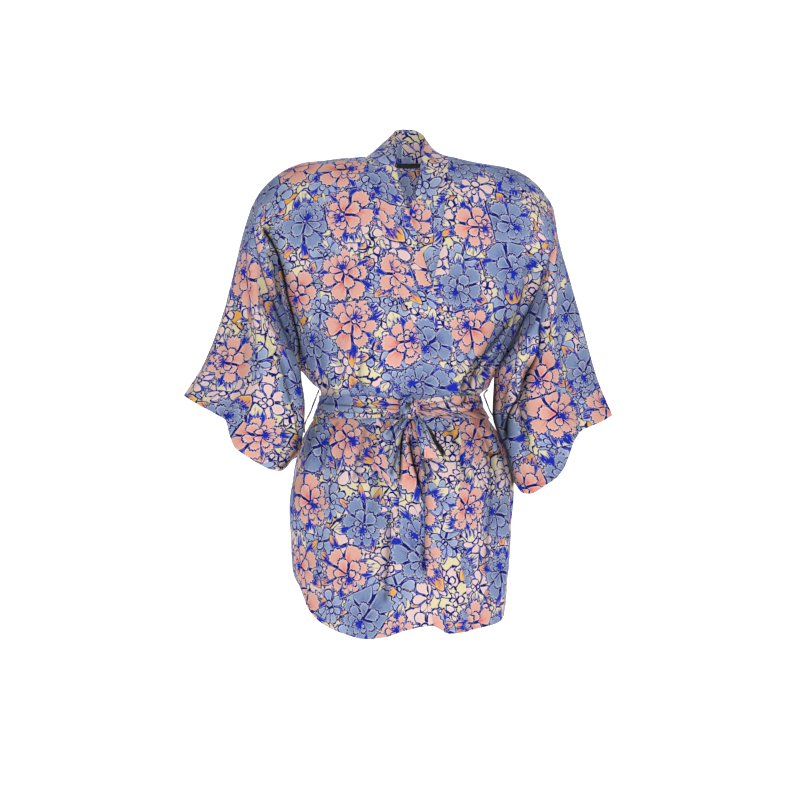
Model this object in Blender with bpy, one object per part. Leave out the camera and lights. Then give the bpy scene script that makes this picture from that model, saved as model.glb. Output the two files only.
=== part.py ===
"""Short kimono robe in its worn form: hollow, wrapped right over left and tied with its own belt.

Metres, +Z up. The front faces -Y, and right and left are the wearer's, so the right side is -X.
The origin lies on the shoulder line, level with the two neck points of the shoulder seams.

One surface gives the body. A point on it has a face (front or back), a place across (s, from -1
at the right side seam to 1 at the left one) and a path, the length of cloth below the shoulder
seam. The panels, the bands, the belt and its bow are walls on that surface, moved out from it.
The sleeves are tubes that grow out of the armholes.
"""

from collections import namedtuple

import bmesh
import bpy
import numpy as np

FRONT = -1
BACK = 1
RIGHT = -1
LEFT = 1

CLOTH = 0.0015
BAND_CLOTH = 0.0020
LABEL_CLOTH = 0.0010
CARRIER_CLOTH = 0.0012
SEAM_GAP = 0.0003
OVERLAP_LIFT = 0.0040

NECK_CENTRE = 0.009
NECK_HALF = 0.071
NECK_BACK = 0.035
UNDERARM = 0.36
BELT_TOP = 0.488
BELT_LOW = 0.534
BELT_MIDDLE = (BELT_TOP + BELT_LOW) / 2
HEM = 0.912
SIDE_INSET = 0.0013

# How near the shoulder line (path) and a side seam (s) a point counts as on the seam.
ON_SHOULDER = 0.001
ON_SIDE = 0.998
NORMAL_STEP = 0.0004
HALVINGS = 40

# How full the chest section is towards the armholes.
ARCH_POWER = 2.4
# How much sooner the armhole's depth dies away towards the chest where the section is round.
EDGE_FALL = 2.0

Section = namedtuple("Section", "path drop half front back edge slope round shift")
SECTIONS = (
    Section(0.000, 0.0000, 0.2640, 0.0000, 0.0000, 0.0000, 1.00, 0.00, 0.0040),
    Section(0.020, 0.0015, 0.2640, 0.0198, 0.0198, 0.0150, 1.00, 0.00, 0.0040),
    Section(0.050, 0.0110, 0.2640, 0.0480, 0.0500, 0.0340, 1.00, 0.00, 0.0040),
    Section(0.090, 0.0350, 0.2630, 0.0790, 0.0830, 0.0560, 0.98, 0.00, 0.0040),
    Section(0.140, 0.0790, 0.2610, 0.0970, 0.1010, 0.0700, 0.85, 0.00, 0.0040),
    Section(0.220, 0.1580, 0.2520, 0.1110, 0.1060, 0.0720, 0.42, 0.10, 0.0030),
    Section(0.280, 0.2200, 0.2400, 0.1170, 0.1040, 0.0560, 0.12, 0.50, 0.0020),
    Section(0.320, 0.2610, 0.2270, 0.1170, 0.1010, 0.0390, 0.03, 0.85, 0.0010),
    Section(0.346, 0.2865, 0.2172, 0.1160, 0.0990, 0.0220, 0.01, 0.97, 0.0003),
    Section(0.360, 0.3000, 0.2120, 0.1150, 0.0980, 0.0000, 0.00, 1.00, 0.0000),
    Section(0.420, 0.3600, 0.1900, 0.1110, 0.0950, 0.0000, 0.00, 1.00, -0.0010),
    Section(0.455, 0.3950, 0.1620, 0.1020, 0.0910, 0.0000, 0.00, 1.00, -0.0005),
    Section(0.472, 0.4103, 0.1508, 0.0955, 0.0882, 0.0000, 0.00, 1.00, 0.0035),
    Section(0.488, 0.4245, 0.1410, 0.0880, 0.0850, 0.0000, 0.00, 1.00, -0.0030),
    Section(0.511, 0.4460, 0.1450, 0.0865, 0.0840, 0.0000, 0.00, 1.00, -0.0030),
    Section(0.534, 0.4670, 0.1555, 0.0900, 0.0870, 0.0000, 0.00, 1.00, -0.0018),
    Section(0.548, 0.4806, 0.1650, 0.0955, 0.0920, 0.0000, 0.00, 1.00, -0.0012),
    Section(0.580, 0.5100, 0.1805, 0.1080, 0.1040, 0.0000, 0.00, 1.00, 0.0010),
    Section(0.640, 0.5700, 0.1950, 0.1200, 0.1160, 0.0000, 0.00, 1.00, 0.0030),
    Section(0.680, 0.6100, 0.1985, 0.1240, 0.1200, 0.0000, 0.00, 1.00, 0.0000),
    Section(0.720, 0.6500, 0.1965, 0.1260, 0.1220, 0.0000, 0.00, 1.00, -0.0020),
    Section(0.790, 0.7200, 0.1930, 0.1260, 0.1220, 0.0000, 0.00, 1.00, -0.0020),
    Section(0.830, 0.7600, 0.1890, 0.1250, 0.1210, 0.0000, 0.00, 1.00, -0.0020),
    Section(0.912, 0.8420, 0.1840, 0.1220, 0.1190, 0.0000, 0.00, 1.00, -0.0020),
)
# How the shoulder line falls away from the neck: its slope, and the drop and turn of its round end.
Shoulder = namedtuple("Shoulder", "pitch roll power")
SHOULDERS = {RIGHT: Shoulder(0.11, 0.060, 2.5), LEFT: Shoulder(0.20, 0.047, 3.5)}
ROLL_START = 0.160
ROLL_WIDTH = 0.105

SECTION_COLUMNS = {name: np.array([getattr(row, name) for row in SECTIONS]) for name in Section._fields}

# Where the band is sewn to its front and where its free edge runs, across the body.
Edge = namedtuple("Edge", "drop seam free")
UPPER_EDGE = (
    Edge(0.000, -0.0620, -0.0200),
    Edge(0.087, -0.0450, 0.0040),
    Edge(0.103, -0.0418, 0.0085),
    Edge(0.131, -0.0362, 0.0189),
    Edge(0.175, -0.0276, 0.0322),
    Edge(0.244, -0.0070, 0.0535),
    Edge(0.338, 0.0306, 0.0885),
    Edge(0.381, 0.0350, 0.0942),
    Edge(0.432, 0.0396, 0.0985),
    Edge(0.537, 0.0376, 0.0978),
    Edge(0.700, 0.0385, 0.0975),
    Edge(0.764, 0.0430, 0.1076),
    Edge(0.842, 0.0530, 0.1120),
)
LOWER_EDGE = (
    Edge(0.000, 0.0800, 0.0400),
    Edge(0.103, 0.0730, 0.0140),
    Edge(0.131, 0.0706, 0.0060),
    Edge(0.166, 0.0670, -0.0060),
    Edge(0.236, 0.0512, -0.0220),
    Edge(0.338, -0.0050, -0.0660),
    Edge(0.432, -0.0300, -0.0900),
    Edge(0.537, -0.0320, -0.0920),
    Edge(0.842, -0.0350, -0.0950),
)

# The free edge of the standing part of each band, by the length of cloth from the shoulder seam,
# counted down the front and, below zero, round the back of the neck.
Stand = namedtuple("Stand", "path x y z")
RIGHT_STAND = (
    Stand(-0.090, 0.0045, 0.0465, 0.0565),
    Stand(-0.060, -0.0105, 0.0360, 0.0535),
    Stand(-0.020, -0.0155, 0.0120, 0.0415),
    Stand(0.030, -0.0160, -0.0250, 0.0160),
    Stand(0.080, -0.0125, -0.0600, -0.0142),
    Stand(0.130, -0.0036, -0.0880, -0.0640),
    Stand(0.170, 0.0120, -0.1020, -0.1050),
)
LEFT_STAND = (
    Stand(-0.090, 0.0045, 0.0465, 0.0565),
    Stand(-0.060, 0.0230, 0.0400, 0.0540),
    Stand(-0.020, 0.0410, 0.0120, 0.0345),
    Stand(0.030, 0.0390, -0.0250, 0.0125),
    Stand(0.080, 0.0338, -0.0600, -0.0142),
    Stand(0.130, 0.0285, -0.0880, -0.0587),
    Stand(0.170, 0.0120, -0.0975, -0.1050),
)
STAND_BLEND = (0.110, 0.170)
STAND_BULGE = 0.0030

# Round the neck the band stands a little further off the seam, back to nothing by this path.
STAND_CLEARANCE = 0.0011
STAND_CLEARANCE_END = 0.13
STAND_CLEARANCE_RUN = 0.08

# How much shorter the cloth is than HEM at each place across.
Rise = namedtuple("Rise", "s rise")
FRONT_HEM = (
    Rise(-1.000, 0.112),
    Rise(-0.900, 0.105),
    Rise(-0.775, 0.086),
    Rise(-0.654, 0.045),
    Rise(-0.496, 0.0215),
    Rise(-0.353, 0.0086),
    Rise(-0.210, 0.0010),
    Rise(-0.095, 0.0047),
    Rise(0.025, 0.016),
    Rise(0.175, 0.024),
    Rise(0.298, 0.009),
    Rise(0.498, 0.014),
    Rise(0.784, 0.022),
    Rise(0.870, 0.032),
    Rise(1.000, 0.062),
)
BACK_HEM = (
    Rise(-1.000, 0.112),
    Rise(-0.700, 0.060),
    Rise(-0.350, 0.028),
    Rise(0.000, 0.020),
    Rise(0.400, 0.026),
    Rise(0.750, 0.046),
    Rise(1.000, 0.062),
)

# Long creases. A negative depth is a trough, a positive one a ridge; widths are in metres.
Fold = namedtuple("Fold", "face top_s top_path low_s low_path width depth")
FOLDS = (
    Fold(FRONT, 0.020, 0.545, 0.100, 0.730, 0.013, -0.0080),
    Fold(FRONT, -0.050, 0.690, -0.085, 0.880, 0.016, -0.0050),
    Fold(FRONT, -0.480, 0.560, -0.560, 0.800, 0.022, -0.0065),
    Fold(FRONT, -0.780, 0.600, -0.800, 0.860, 0.018, 0.0040),
    Fold(FRONT, 0.560, 0.560, 0.640, 0.850, 0.020, -0.0060),
    Fold(FRONT, 0.880, 0.600, 0.900, 0.890, 0.013, -0.0060),
    Fold(FRONT, 0.780, 0.680, 0.790, 0.900, 0.016, 0.0050),
    Fold(FRONT, 0.660, 0.330, 0.500, 0.480, 0.016, -0.0050),
    Fold(FRONT, -0.700, 0.300, -0.520, 0.480, 0.018, -0.0045),
    Fold(FRONT, -0.300, 0.200, -0.420, 0.440, 0.022, -0.0035),
    Fold(FRONT, -0.980, 0.150, -0.710, 0.440, 0.016, -0.0125),
    Fold(FRONT, 0.960, 0.150, 0.740, 0.420, 0.018, -0.0080),
    Fold(BACK, -0.880, 0.110, -0.700, 0.350, 0.022, -0.0060),
    Fold(BACK, 0.880, 0.110, 0.720, 0.350, 0.022, -0.0055),
    Fold(BACK, -0.450, 0.220, -0.380, 0.470, 0.022, -0.0070),
    Fold(BACK, 0.080, 0.160, 0.050, 0.470, 0.026, -0.0060),
    Fold(BACK, 0.520, 0.260, 0.400, 0.475, 0.020, -0.0050),
    Fold(BACK, -0.620, 0.550, -0.700, 0.830, 0.022, -0.0075),
    Fold(BACK, -0.180, 0.550, -0.220, 0.850, 0.024, -0.0090),
    Fold(BACK, 0.240, 0.550, 0.300, 0.800, 0.022, -0.0070),
    Fold(BACK, 0.660, 0.570, 0.720, 0.860, 0.024, -0.0080),
)

# Gathers that the belt pulls in: a depth just above it and one just below it.
Gather = namedtuple("Gather", "face s width above below")
GATHERS = (
    Gather(FRONT, -0.870, 0.011, 0.0035, -0.0030),
    Gather(FRONT, -0.700, 0.012, -0.0045, 0.0035),
    Gather(FRONT, -0.540, 0.011, 0.0040, -0.0040),
    Gather(FRONT, -0.380, 0.012, -0.0050, 0.0035),
    Gather(FRONT, -0.220, 0.011, 0.0035, -0.0045),
    Gather(FRONT, -0.070, 0.010, -0.0040, 0.0025),
    Gather(FRONT, 0.120, 0.011, 0.0030, 0.0025),
    Gather(FRONT, 0.330, 0.012, -0.0035, 0.0030),
    Gather(FRONT, 0.520, 0.011, -0.0045, -0.0040),
    Gather(FRONT, 0.680, 0.011, 0.0050, 0.0035),
    Gather(FRONT, 0.840, 0.011, -0.0040, -0.0035),
    Gather(BACK, -0.840, 0.012, -0.0040, 0.0040),
    Gather(BACK, -0.640, 0.013, 0.0050, -0.0045),
    Gather(BACK, -0.430, 0.012, -0.0050, 0.0040),
    Gather(BACK, -0.230, 0.013, 0.0045, -0.0050),
    Gather(BACK, -0.030, 0.012, -0.0055, 0.0045),
    Gather(BACK, 0.180, 0.013, 0.0045, -0.0045),
    Gather(BACK, 0.370, 0.012, -0.0050, 0.0050),
    Gather(BACK, 0.580, 0.013, 0.0050, -0.0045),
    Gather(BACK, 0.800, 0.012, -0.0045, 0.0035),
)
GATHER_ABOVE = 0.12
GATHER_BELOW = 0.19
GATHER_START = 0.004

# Cloth length across half a section, over its half width.
GIRTH = 1.25
# The share of a crease's length over which it rises and dies away.
FOLD_FADE_IN = 0.30
FOLD_FADE_OUT = 0.35
GATHER_FADE_ABOVE = 0.20
GATHER_FADE_BELOW = 0.15
SIDE_FADE = 0.08
SLEEVE_FOLD_FADE = 0.40

# Each sleeve runs from its armhole to its cuff. The outer line leaves the shoulder, the inner one
# the underarm; x is measured away from the middle, and depths are in front of and behind the lines.
Sleeve = namedtuple("Sleeve", "along outer_x outer_y outer_z inner_x inner_y inner_z front back")
RIGHT_SLEEVE = (
    Sleeve(0.00, 0.260, 0.000, -0.0850, 0.2120, 0.000, -0.3000, 0.070, 0.070),
    Sleeve(0.15, 0.276, -0.004, -0.1335, 0.2080, -0.022, -0.3350, 0.066, 0.064),
    Sleeve(0.36, 0.297, -0.010, -0.2100, 0.1770, -0.062, -0.3880, 0.052, 0.062),
    Sleeve(0.60, 0.320, -0.018, -0.2900, 0.1690, -0.070, -0.4496, 0.045, 0.062),
    Sleeve(0.83, 0.351, -0.025, -0.3700, 0.1750, -0.072, -0.5090, 0.042, 0.062),
    Sleeve(1.00, 0.384, -0.030, -0.4250, 0.1985, -0.072, -0.5455, 0.044, 0.064),
)
LEFT_SLEEVE = (
    Sleeve(0.00, 0.268, 0.000, -0.0880, 0.2120, 0.000, -0.3000, 0.070, 0.070),
    Sleeve(0.12, 0.275, -0.004, -0.1335, 0.2090, -0.020, -0.3300, 0.068, 0.065),
    Sleeve(0.34, 0.299, -0.010, -0.2190, 0.1680, -0.062, -0.3930, 0.056, 0.062),
    Sleeve(0.57, 0.322, -0.018, -0.3080, 0.1585, -0.070, -0.4590, 0.048, 0.062),
    Sleeve(0.82, 0.347, -0.025, -0.3970, 0.1820, -0.072, -0.5267, 0.044, 0.062),
    Sleeve(1.00, 0.372, -0.030, -0.4590, 0.1942, -0.072, -0.5765, 0.046, 0.064),
)
SLEEVE_FRONT_PEAK = {RIGHT: 0.58, LEFT: 0.70}
SLEEVE_BACK_PEAK = 0.45
ARMHOLE_REACH = 0.55
UNDERARM_TURN = (0.20, 0.18)
UNDERARM_GAP = 0.0024

# How far the cuff hangs below the straight line between its two ends.
Wave = namedtuple("Wave", "across front_right front_left back")
CUFF_WAVES = (
    Wave(0.00, 0.000, 0.000, 0.000),
    Wave(0.12, -0.002, -0.003, -0.003),
    Wave(0.33, -0.008, -0.012, -0.008),
    Wave(0.42, -0.010, -0.004, -0.006),
    Wave(0.47, 0.014, 0.011, -0.002),
    Wave(0.53, 0.028, 0.029, 0.003),
    Wave(0.62, 0.029, 0.038, 0.008),
    Wave(0.80, 0.027, 0.037, 0.012),
    Wave(0.93, 0.018, 0.024, 0.008),
    Wave(1.00, 0.000, 0.000, 0.000),
)
CUFF_WAVE_START = 0.55

# Creases of the sleeves: round runs from the shoulder line (0) over the front to the underarm
# (0.5) and back up behind (1), along from the armhole to the cuff.
SleeveFold = namedtuple("SleeveFold", "side top_round top_along low_round low_along width depth")
SLEEVE_FOLDS = (
    SleeveFold(RIGHT, 0.130, 0.10, 0.215, 1.05, 0.022, -0.0080),
    SleeveFold(RIGHT, 0.240, 0.40, 0.265, 1.05, 0.026, 0.0080),
    SleeveFold(RIGHT, 0.330, 0.20, 0.360, 1.05, 0.026, -0.0060),
    SleeveFold(RIGHT, 0.060, 0.20, 0.090, 1.05, 0.024, 0.0050),
    SleeveFold(RIGHT, 0.660, 0.15, 0.640, 1.05, 0.026, -0.0070),
    SleeveFold(RIGHT, 0.780, 0.30, 0.760, 1.05, 0.026, 0.0060),
    SleeveFold(RIGHT, 0.880, 0.15, 0.860, 1.05, 0.024, -0.0060),
    SleeveFold(LEFT, 0.120, 0.15, 0.190, 1.05, 0.024, -0.0080),
    SleeveFold(LEFT, 0.230, 0.30, 0.250, 1.05, 0.024, 0.0060),
    SleeveFold(LEFT, 0.290, 0.20, 0.310, 1.05, 0.020, -0.0070),
    SleeveFold(LEFT, 0.370, 0.25, 0.360, 1.05, 0.022, 0.0070),
    SleeveFold(LEFT, 0.680, 0.15, 0.660, 1.05, 0.026, -0.0070),
    SleeveFold(LEFT, 0.780, 0.25, 0.770, 1.05, 0.026, 0.0060),
    SleeveFold(LEFT, 0.890, 0.20, 0.870, 1.05, 0.024, -0.0060),
)

UPPER_PATHS = (0.0, 0.02, 0.045, 0.07, 0.095, 0.125, 0.155, 0.19, 0.225, 0.26, 0.295, 0.33, UNDERARM)
LOWER_PATHS = (
    0.39, 0.42, 0.45, 0.472, BELT_TOP, BELT_MIDDLE, BELT_LOW, 0.55, 0.575, 0.61,
    0.65, 0.70, 0.75, 0.80, 0.85, 0.88, HEM,
)
BODY_PATHS = UPPER_PATHS + LOWER_PATHS
STAND_PATHS = (0.145, 0.12, 0.095, 0.07, 0.045, 0.02)
SLEEVE_ALONG = (0.0, 0.05, 0.12, 0.21, 0.31, 0.42, 0.53, 0.64, 0.74, 0.83, 0.92, 1.0)
SLEEVE_SPLIT = 2
FRONT_COLUMNS = 15
BACK_SIDE_COLUMNS = 7
BACK_NECK_COLUMNS = 10
BAND_COLUMNS = 4
BELT_ROWS = 4
BELT_COLUMNS = 24

BELT_LIFT = 0.0027
BELT_EASE = (0.50, 0.80)
OVERLAP_SIDE = 0.50
OVERLAP_TOP = 0.14

KNOT_X = 0.0115
KNOT_HALF = (0.0160, 0.0105, 0.0185)
KNOT_POWER = 3.0
KNOT_GROOVE = 0.0016
KNOT_GROOVE_WIDTH = 0.004
KNOT_GROOVE_LEAN = (0.9, 0.5)
KNOT_SUBDIVISIONS = 3
KNOT_CLEARANCE = 0.0012

# The bow: ribbons that hang from the knot, by place across, path, lift off the body and half width.
Strip = namedtuple("Strip", "x path lift half")
BOW_LOOP = (
    Strip(0.0200, 0.5389, 0.0265, 0.0060),
    Strip(0.0258, 0.5480, 0.0320, 0.0062),
    Strip(0.0300, 0.5650, 0.0360, 0.0085),
    Strip(0.0370, 0.5850, 0.0370, 0.0114),
    Strip(0.0437, 0.6000, 0.0347, 0.0140),
    Strip(0.0484, 0.6075, 0.0290, 0.0165),
    Strip(0.0520, 0.6060, 0.0230, 0.0195),
    Strip(0.0508, 0.5950, 0.0195, 0.0175),
    Strip(0.0418, 0.5750, 0.0190, 0.0135),
    Strip(0.0343, 0.5550, 0.0190, 0.0095),
    Strip(0.0235, 0.5389, 0.0195, 0.0065),
)
SHORT_TAIL = (
    Strip(0.0030, 0.5392, 0.0225, 0.0060),
    Strip(-0.0060, 0.5500, 0.0215, 0.0105),
    Strip(-0.0160, 0.5700, 0.0180, 0.0140),
    Strip(-0.0235, 0.5950, 0.0150, 0.0168),
    Strip(-0.0300, 0.6180, 0.0135, 0.0170),
    Strip(-0.0330, 0.6330, 0.0130, 0.0165),
)
LONG_TAIL = (
    Strip(0.0110, 0.5385, 0.0145, 0.0070),
    Strip(0.0125, 0.5550, 0.0130, 0.0120),
    Strip(0.0135, 0.5900, 0.0115, 0.0165),
    Strip(0.0145, 0.6300, 0.0110, 0.0190),
    Strip(0.0150, 0.6700, 0.0105, 0.0200),
    Strip(0.0155, 0.7050, 0.0105, 0.0205),
    Strip(0.0160, 0.7400, 0.0105, 0.0205),
)
SHORT_TAIL_SLANT = 0.018
LONG_TAIL_SLANT = 0.008
RIBBON_CROWN = 0.0015
BOW_COLUMNS = 4
BOW_ROWS = 16

CARRIER_PATHS = (0.476, 0.481, BELT_TOP, BELT_MIDDLE, BELT_LOW, 0.548, 0.560)
CARRIER_LIFTS = (0.0030, 0.0048, 0.0080, 0.0120, 0.0125, 0.0075, 0.0018)
CARRIER_HALF = 0.0017

LABEL_X = (-0.0100, 0.0330)
LABEL_DROP = (0.003, 0.017)
LABEL_LIFT = -0.0016
LABEL_COLUMNS = 6
LABEL_ROWS = 4

FABRIC_COLOUR = (0.48, 0.42, 0.55, 1.0)
LABEL_COLOUR = (0.01, 0.01, 0.012, 1.0)
ROUGHNESS = 0.75
SHARP_ANGLE = 50


def smoothstep(value):
    value = np.clip(value, 0.0, 1.0)
    return value * value * (3.0 - 2.0 * value)


def monotone(keys, values, where):
    """A smooth curve through the rows of a table that never overshoots them."""
    keys = np.asarray(keys, float)
    values = np.asarray(values, float)
    step = np.diff(keys)
    rise = np.diff(values) / step
    slope = np.zeros(len(values))
    slope[0] = rise[0]
    slope[-1] = rise[-1]
    for i in range(1, len(values) - 1):
        if rise[i - 1] * rise[i] > 0:
            before = 2 * step[i] + step[i - 1]
            after = step[i] + 2 * step[i - 1]
            slope[i] = (before + after) / (before / rise[i - 1] + after / rise[i])
    i = np.clip(np.searchsorted(keys, where, side="right") - 1, 0, len(keys) - 2)
    t = np.clip((where - keys[i]) / step[i], 0.0, 1.0)
    low = values[i] * (1 + 2 * t) * (1 - t) ** 2 + values[i + 1] * t * t * (3 - 2 * t)
    return low + step[i] * t * (1 - t) * (slope[i] * (1 - t) - slope[i + 1] * t)


def column(table, key, value, where):
    """One named column of a table, read at places of its key column."""
    return monotone([getattr(row, key) for row in table], [getattr(row, value) for row in table], where)


def section(name, path):
    return monotone(SECTION_COLUMNS["path"], SECTION_COLUMNS[name], path)


def bend(s, path):
    """Where s lies across the section, from -1 to 1: flat above the armholes, round below."""
    roundness = section("round", path)
    return (1 - roundness) * s + roundness * np.sin(np.pi * s / 2)


def place_across(x, path):
    """The s at which the body surface has this x."""
    wanted = (x - section("shift", path)) / section("half", path)
    low = -np.ones_like(wanted)
    high = np.ones_like(wanted)
    for _ in range(HALVINGS):
        middle = (low + high) / 2
        short = bend(middle, path) < wanted
        low = np.where(short, middle, low)
        high = np.where(short, high, middle)
    return (low + high) / 2


def shoulder_fall(x):
    """The height of the shoulder line, zero at the neck points."""
    beyond_neck = np.maximum(np.abs(x - NECK_CENTRE) - NECK_HALF, 0.0)
    beyond_roll = np.maximum((np.abs(x) - ROLL_START) / ROLL_WIDTH, 0.0)
    falls = {}
    for side, row in SHOULDERS.items():
        falls[side] = row.pitch * beyond_neck + row.roll * beyond_roll ** row.power
    return -np.where(x < 0, falls[RIGHT], falls[LEFT])


def base_point(face, s, path):
    roundness = section("round", path)
    depth = section("front" if face == FRONT else "back", path)
    edge = section("edge", path)
    flat_arch = 1 - np.abs(s) ** ARCH_POWER
    arch = (1 - roundness) * flat_arch + roundness * np.cos(np.pi * s / 2)
    x = section("shift", path) + section("half", path) * bend(s, path)
    near_edge = np.maximum(1 - arch, 0.0) ** (1 + EDGE_FALL * roundness)
    y = face * (depth * arch + edge * near_edge)
    z = -section("drop", path) + section("slope", path) * shoulder_fall(x)
    return np.stack([x, y, z], axis=-1)


def unit(vectors):
    return vectors / np.maximum(np.linalg.norm(vectors, axis=-1, keepdims=True), 1e-12)


def surface_normal(rule, face, s, path):
    """The outward normal of a rule that gives points from s and path, square across each seam."""
    across = rule(s + NORMAL_STEP, path) - rule(s - NORMAL_STEP, path)
    down = rule(s, path + NORMAL_STEP) - rule(s, np.maximum(path - NORMAL_STEP, 0.0))
    normal = face * np.cross(across, down)
    on_shoulder = path < ON_SHOULDER
    on_side = (np.abs(s) > ON_SIDE) & (path > UNDERARM - ON_SHOULDER)
    normal[..., 1] = np.where(on_shoulder | on_side, 0.0, normal[..., 1])
    return unit(normal)


def folds(face, s, path):
    """How far creases and gathers move the cloth out of the plain body surface."""
    half = section("half", path)
    moved = np.zeros(np.broadcast(s, path).shape)
    for fold in FOLDS:
        if fold.face == face:
            along = (path - fold.top_path) / (fold.low_path - fold.top_path)
            line = fold.top_s + (fold.low_s - fold.top_s) * along
            across = (s - line) * half * GIRTH / fold.width
            fade = smoothstep(along / FOLD_FADE_IN) * smoothstep((1 - along) / FOLD_FADE_OUT)
            moved = moved + fold.depth * fade * np.exp(-across * across)
    above = (BELT_TOP - GATHER_START - path) / GATHER_ABOVE
    below = (path - BELT_LOW - GATHER_START) / GATHER_BELOW
    for gather in GATHERS:
        if gather.face == face:
            across = (s - gather.s) * half * GIRTH / gather.width
            ridge = np.exp(-across * across)
            up = smoothstep(above / GATHER_FADE_ABOVE) * smoothstep(1 - above)
            down = smoothstep(below / GATHER_FADE_BELOW) * smoothstep(1 - below)
            moved = moved + ridge * (gather.above * up + gather.below * down)
    near_side = smoothstep((1 - np.abs(s)) / SIDE_FADE)
    return moved * near_side


def cloth_point(face, s, path, lift):
    """A point of the cloth, moved out of the body surface by a lift and by the folds."""

    def base(s, path):
        return base_point(face, s, path)

    normal = surface_normal(base, face, s, path)
    out = lift(s, path) + folds(face, s, path)
    return base(s, path) + normal * out[..., None]


def cloth_grid(face, s, path, lift):
    """Points and normals of a panel."""

    def cloth(s, path):
        return cloth_point(face, s, path, lift)

    return cloth(s, path), surface_normal(cloth, face, s, path)


def no_lift(s, path):
    return np.zeros(np.broadcast(s, path).shape)


def upper_lift(s, path):
    """The upper front rises over the lower one, away from its side seam and its shoulder seam."""
    return OVERLAP_LIFT * smoothstep((s + 1) / OVERLAP_SIDE) * smoothstep(path / OVERLAP_TOP)


def belt_lift(s, path):
    ease = 1 - smoothstep((s - BELT_EASE[0]) / (BELT_EASE[1] - BELT_EASE[0]))
    return BELT_LIFT + upper_lift(s, path) * ease


def to_hem(path, s, hem):
    """Rows below the belt, drawn up so that the last one is the hem."""
    end = HEM - column(hem, "s", "rise", s)
    share = np.maximum(path - BELT_LOW, 0.0) / (HEM - BELT_LOW)
    return np.where(path > BELT_LOW, BELT_LOW + share * (end - BELT_LOW), path)


def grid_normals(points, closed=False):
    """Normals of a grid of points, by the differences between neighbours."""
    if closed:
        across = np.roll(points, -1, axis=1) - np.roll(points, 1, axis=1)
    else:
        across = np.gradient(points, axis=1)
    down = np.gradient(points, axis=0)
    return unit(np.cross(across, down))


def wall(name, points, normals, thickness, colour=FABRIC_COLOUR, closed=False):
    """A closed wall of one thickness on a grid of points, as one object."""
    rows, columns = points.shape[:2]
    outer = points + normals * thickness / 2
    inner = points - normals * thickness / 2
    mesh = bmesh.new()
    skins = [[[mesh.verts.new(p) for p in row] for row in skin] for skin in (outer, inner)]
    last = columns if closed else columns - 1
    for skin in skins:
        for i in range(rows - 1):
            for j in range(last):
                k = (j + 1) % columns
                mesh.faces.new((skin[i][j], skin[i][k], skin[i + 1][k], skin[i + 1][j]))
    out, back = skins
    for i in (0, rows - 1):
        for j in range(last):
            k = (j + 1) % columns
            mesh.faces.new((out[i][j], out[i][k], back[i][k], back[i][j]))
    if not closed:
        for j in (0, columns - 1):
            for i in range(rows - 1):
                mesh.faces.new((out[i][j], out[i + 1][j], back[i + 1][j], back[i][j]))
    return solid(name, mesh, colour)


def solid(name, mesh, colour):
    """A bmesh as a smooth shaded object with its own material."""
    bmesh.ops.recalc_face_normals(mesh, faces=mesh.faces)
    data = bpy.data.meshes.new(name)
    mesh.to_mesh(data)
    mesh.free()
    data.shade_smooth()
    data.set_sharp_from_angle(angle=np.radians(SHARP_ANGLE))
    data.materials.append(principled(name, colour))
    made = bpy.data.objects.new(name, data)
    bpy.context.scene.collection.objects.link(made)
    return made


def principled(name, colour):
    material = bpy.data.materials.new(name)
    material.use_nodes = True
    shader = material.node_tree.nodes["Principled BSDF"]
    shader.inputs["Base Color"].default_value = colour
    shader.inputs["Roughness"].default_value = ROUGHNESS
    shader.inputs["Metallic"].default_value = 0.0
    return material


def seam_place(table, path, which):
    return column(table, "drop", which, section("drop", path))


def make_front(name, side, table, lift):
    """A front panel, from its side seam to the seam of its band."""
    path = np.array(BODY_PATHS)[:, None]
    path = np.maximum(path, SEAM_GAP / 2)
    inset = np.where(path >= UNDERARM, SIDE_INSET, 0.0)
    side_s = side * (1 - inset)
    seam_s = place_across(seam_place(table, path, "seam"), path)
    share = np.linspace(0, 1, FRONT_COLUMNS + 1)[None, :]
    s = side_s + (seam_s - side_s) * share
    path = to_hem(path + np.zeros_like(s), s, FRONT_HEM)
    if side == LEFT:
        s = s[:, ::-1]
        path = path[:, ::-1]
    points, normals = cloth_grid(FRONT, s, path, lift)
    wall(name, points, normals, CLOTH)


def neck_angles():
    return np.linspace(0, np.pi, BACK_NECK_COLUMNS + 1)


def neck_place(angle):
    """Place across and path of the back neckline, by its angle from the right neck point."""
    x = NECK_CENTRE - NECK_HALF * np.cos(angle)
    path = np.maximum(NECK_BACK * np.sin(angle), SEAM_GAP / 2)
    return place_across(x, path), path


def make_back():
    neck_s, neck_path = neck_place(neck_angles())
    right_s = np.linspace(-1, neck_s[0], BACK_SIDE_COLUMNS + 1)[:-1]
    left_s = np.linspace(neck_s[-1], 1, BACK_SIDE_COLUMNS + 1)[1:]
    s = np.concatenate([right_s, neck_s, left_s])[None, :]
    top = np.full(s.shape, SEAM_GAP / 2)
    top[0, len(right_s):len(right_s) + len(neck_s)] = neck_path
    path = np.array(BODY_PATHS)[:, None]
    raised = top + path * (UNDERARM - top) / UNDERARM
    s = s * np.where(path >= UNDERARM, 1 - SIDE_INSET, 1.0)
    path = np.where(path < UNDERARM, raised, path)
    path = to_hem(path, s, BACK_HEM)
    points, normals = cloth_grid(BACK, s, path, no_lift)
    wall("back", points, normals, CLOTH)


def band_on_body(side, table, lift, path, share):
    """The band where it lies on its front: from the seam to the free edge."""
    seam = seam_place(table, path, "seam") - side * SEAM_GAP
    free = seam_place(table, path, "free")
    s = place_across(seam + (free - seam) * share, path)
    hem_path = to_hem(path + np.zeros_like(s), s, FRONT_HEM)
    return cloth_point(FRONT, s, hem_path, lift)


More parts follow.
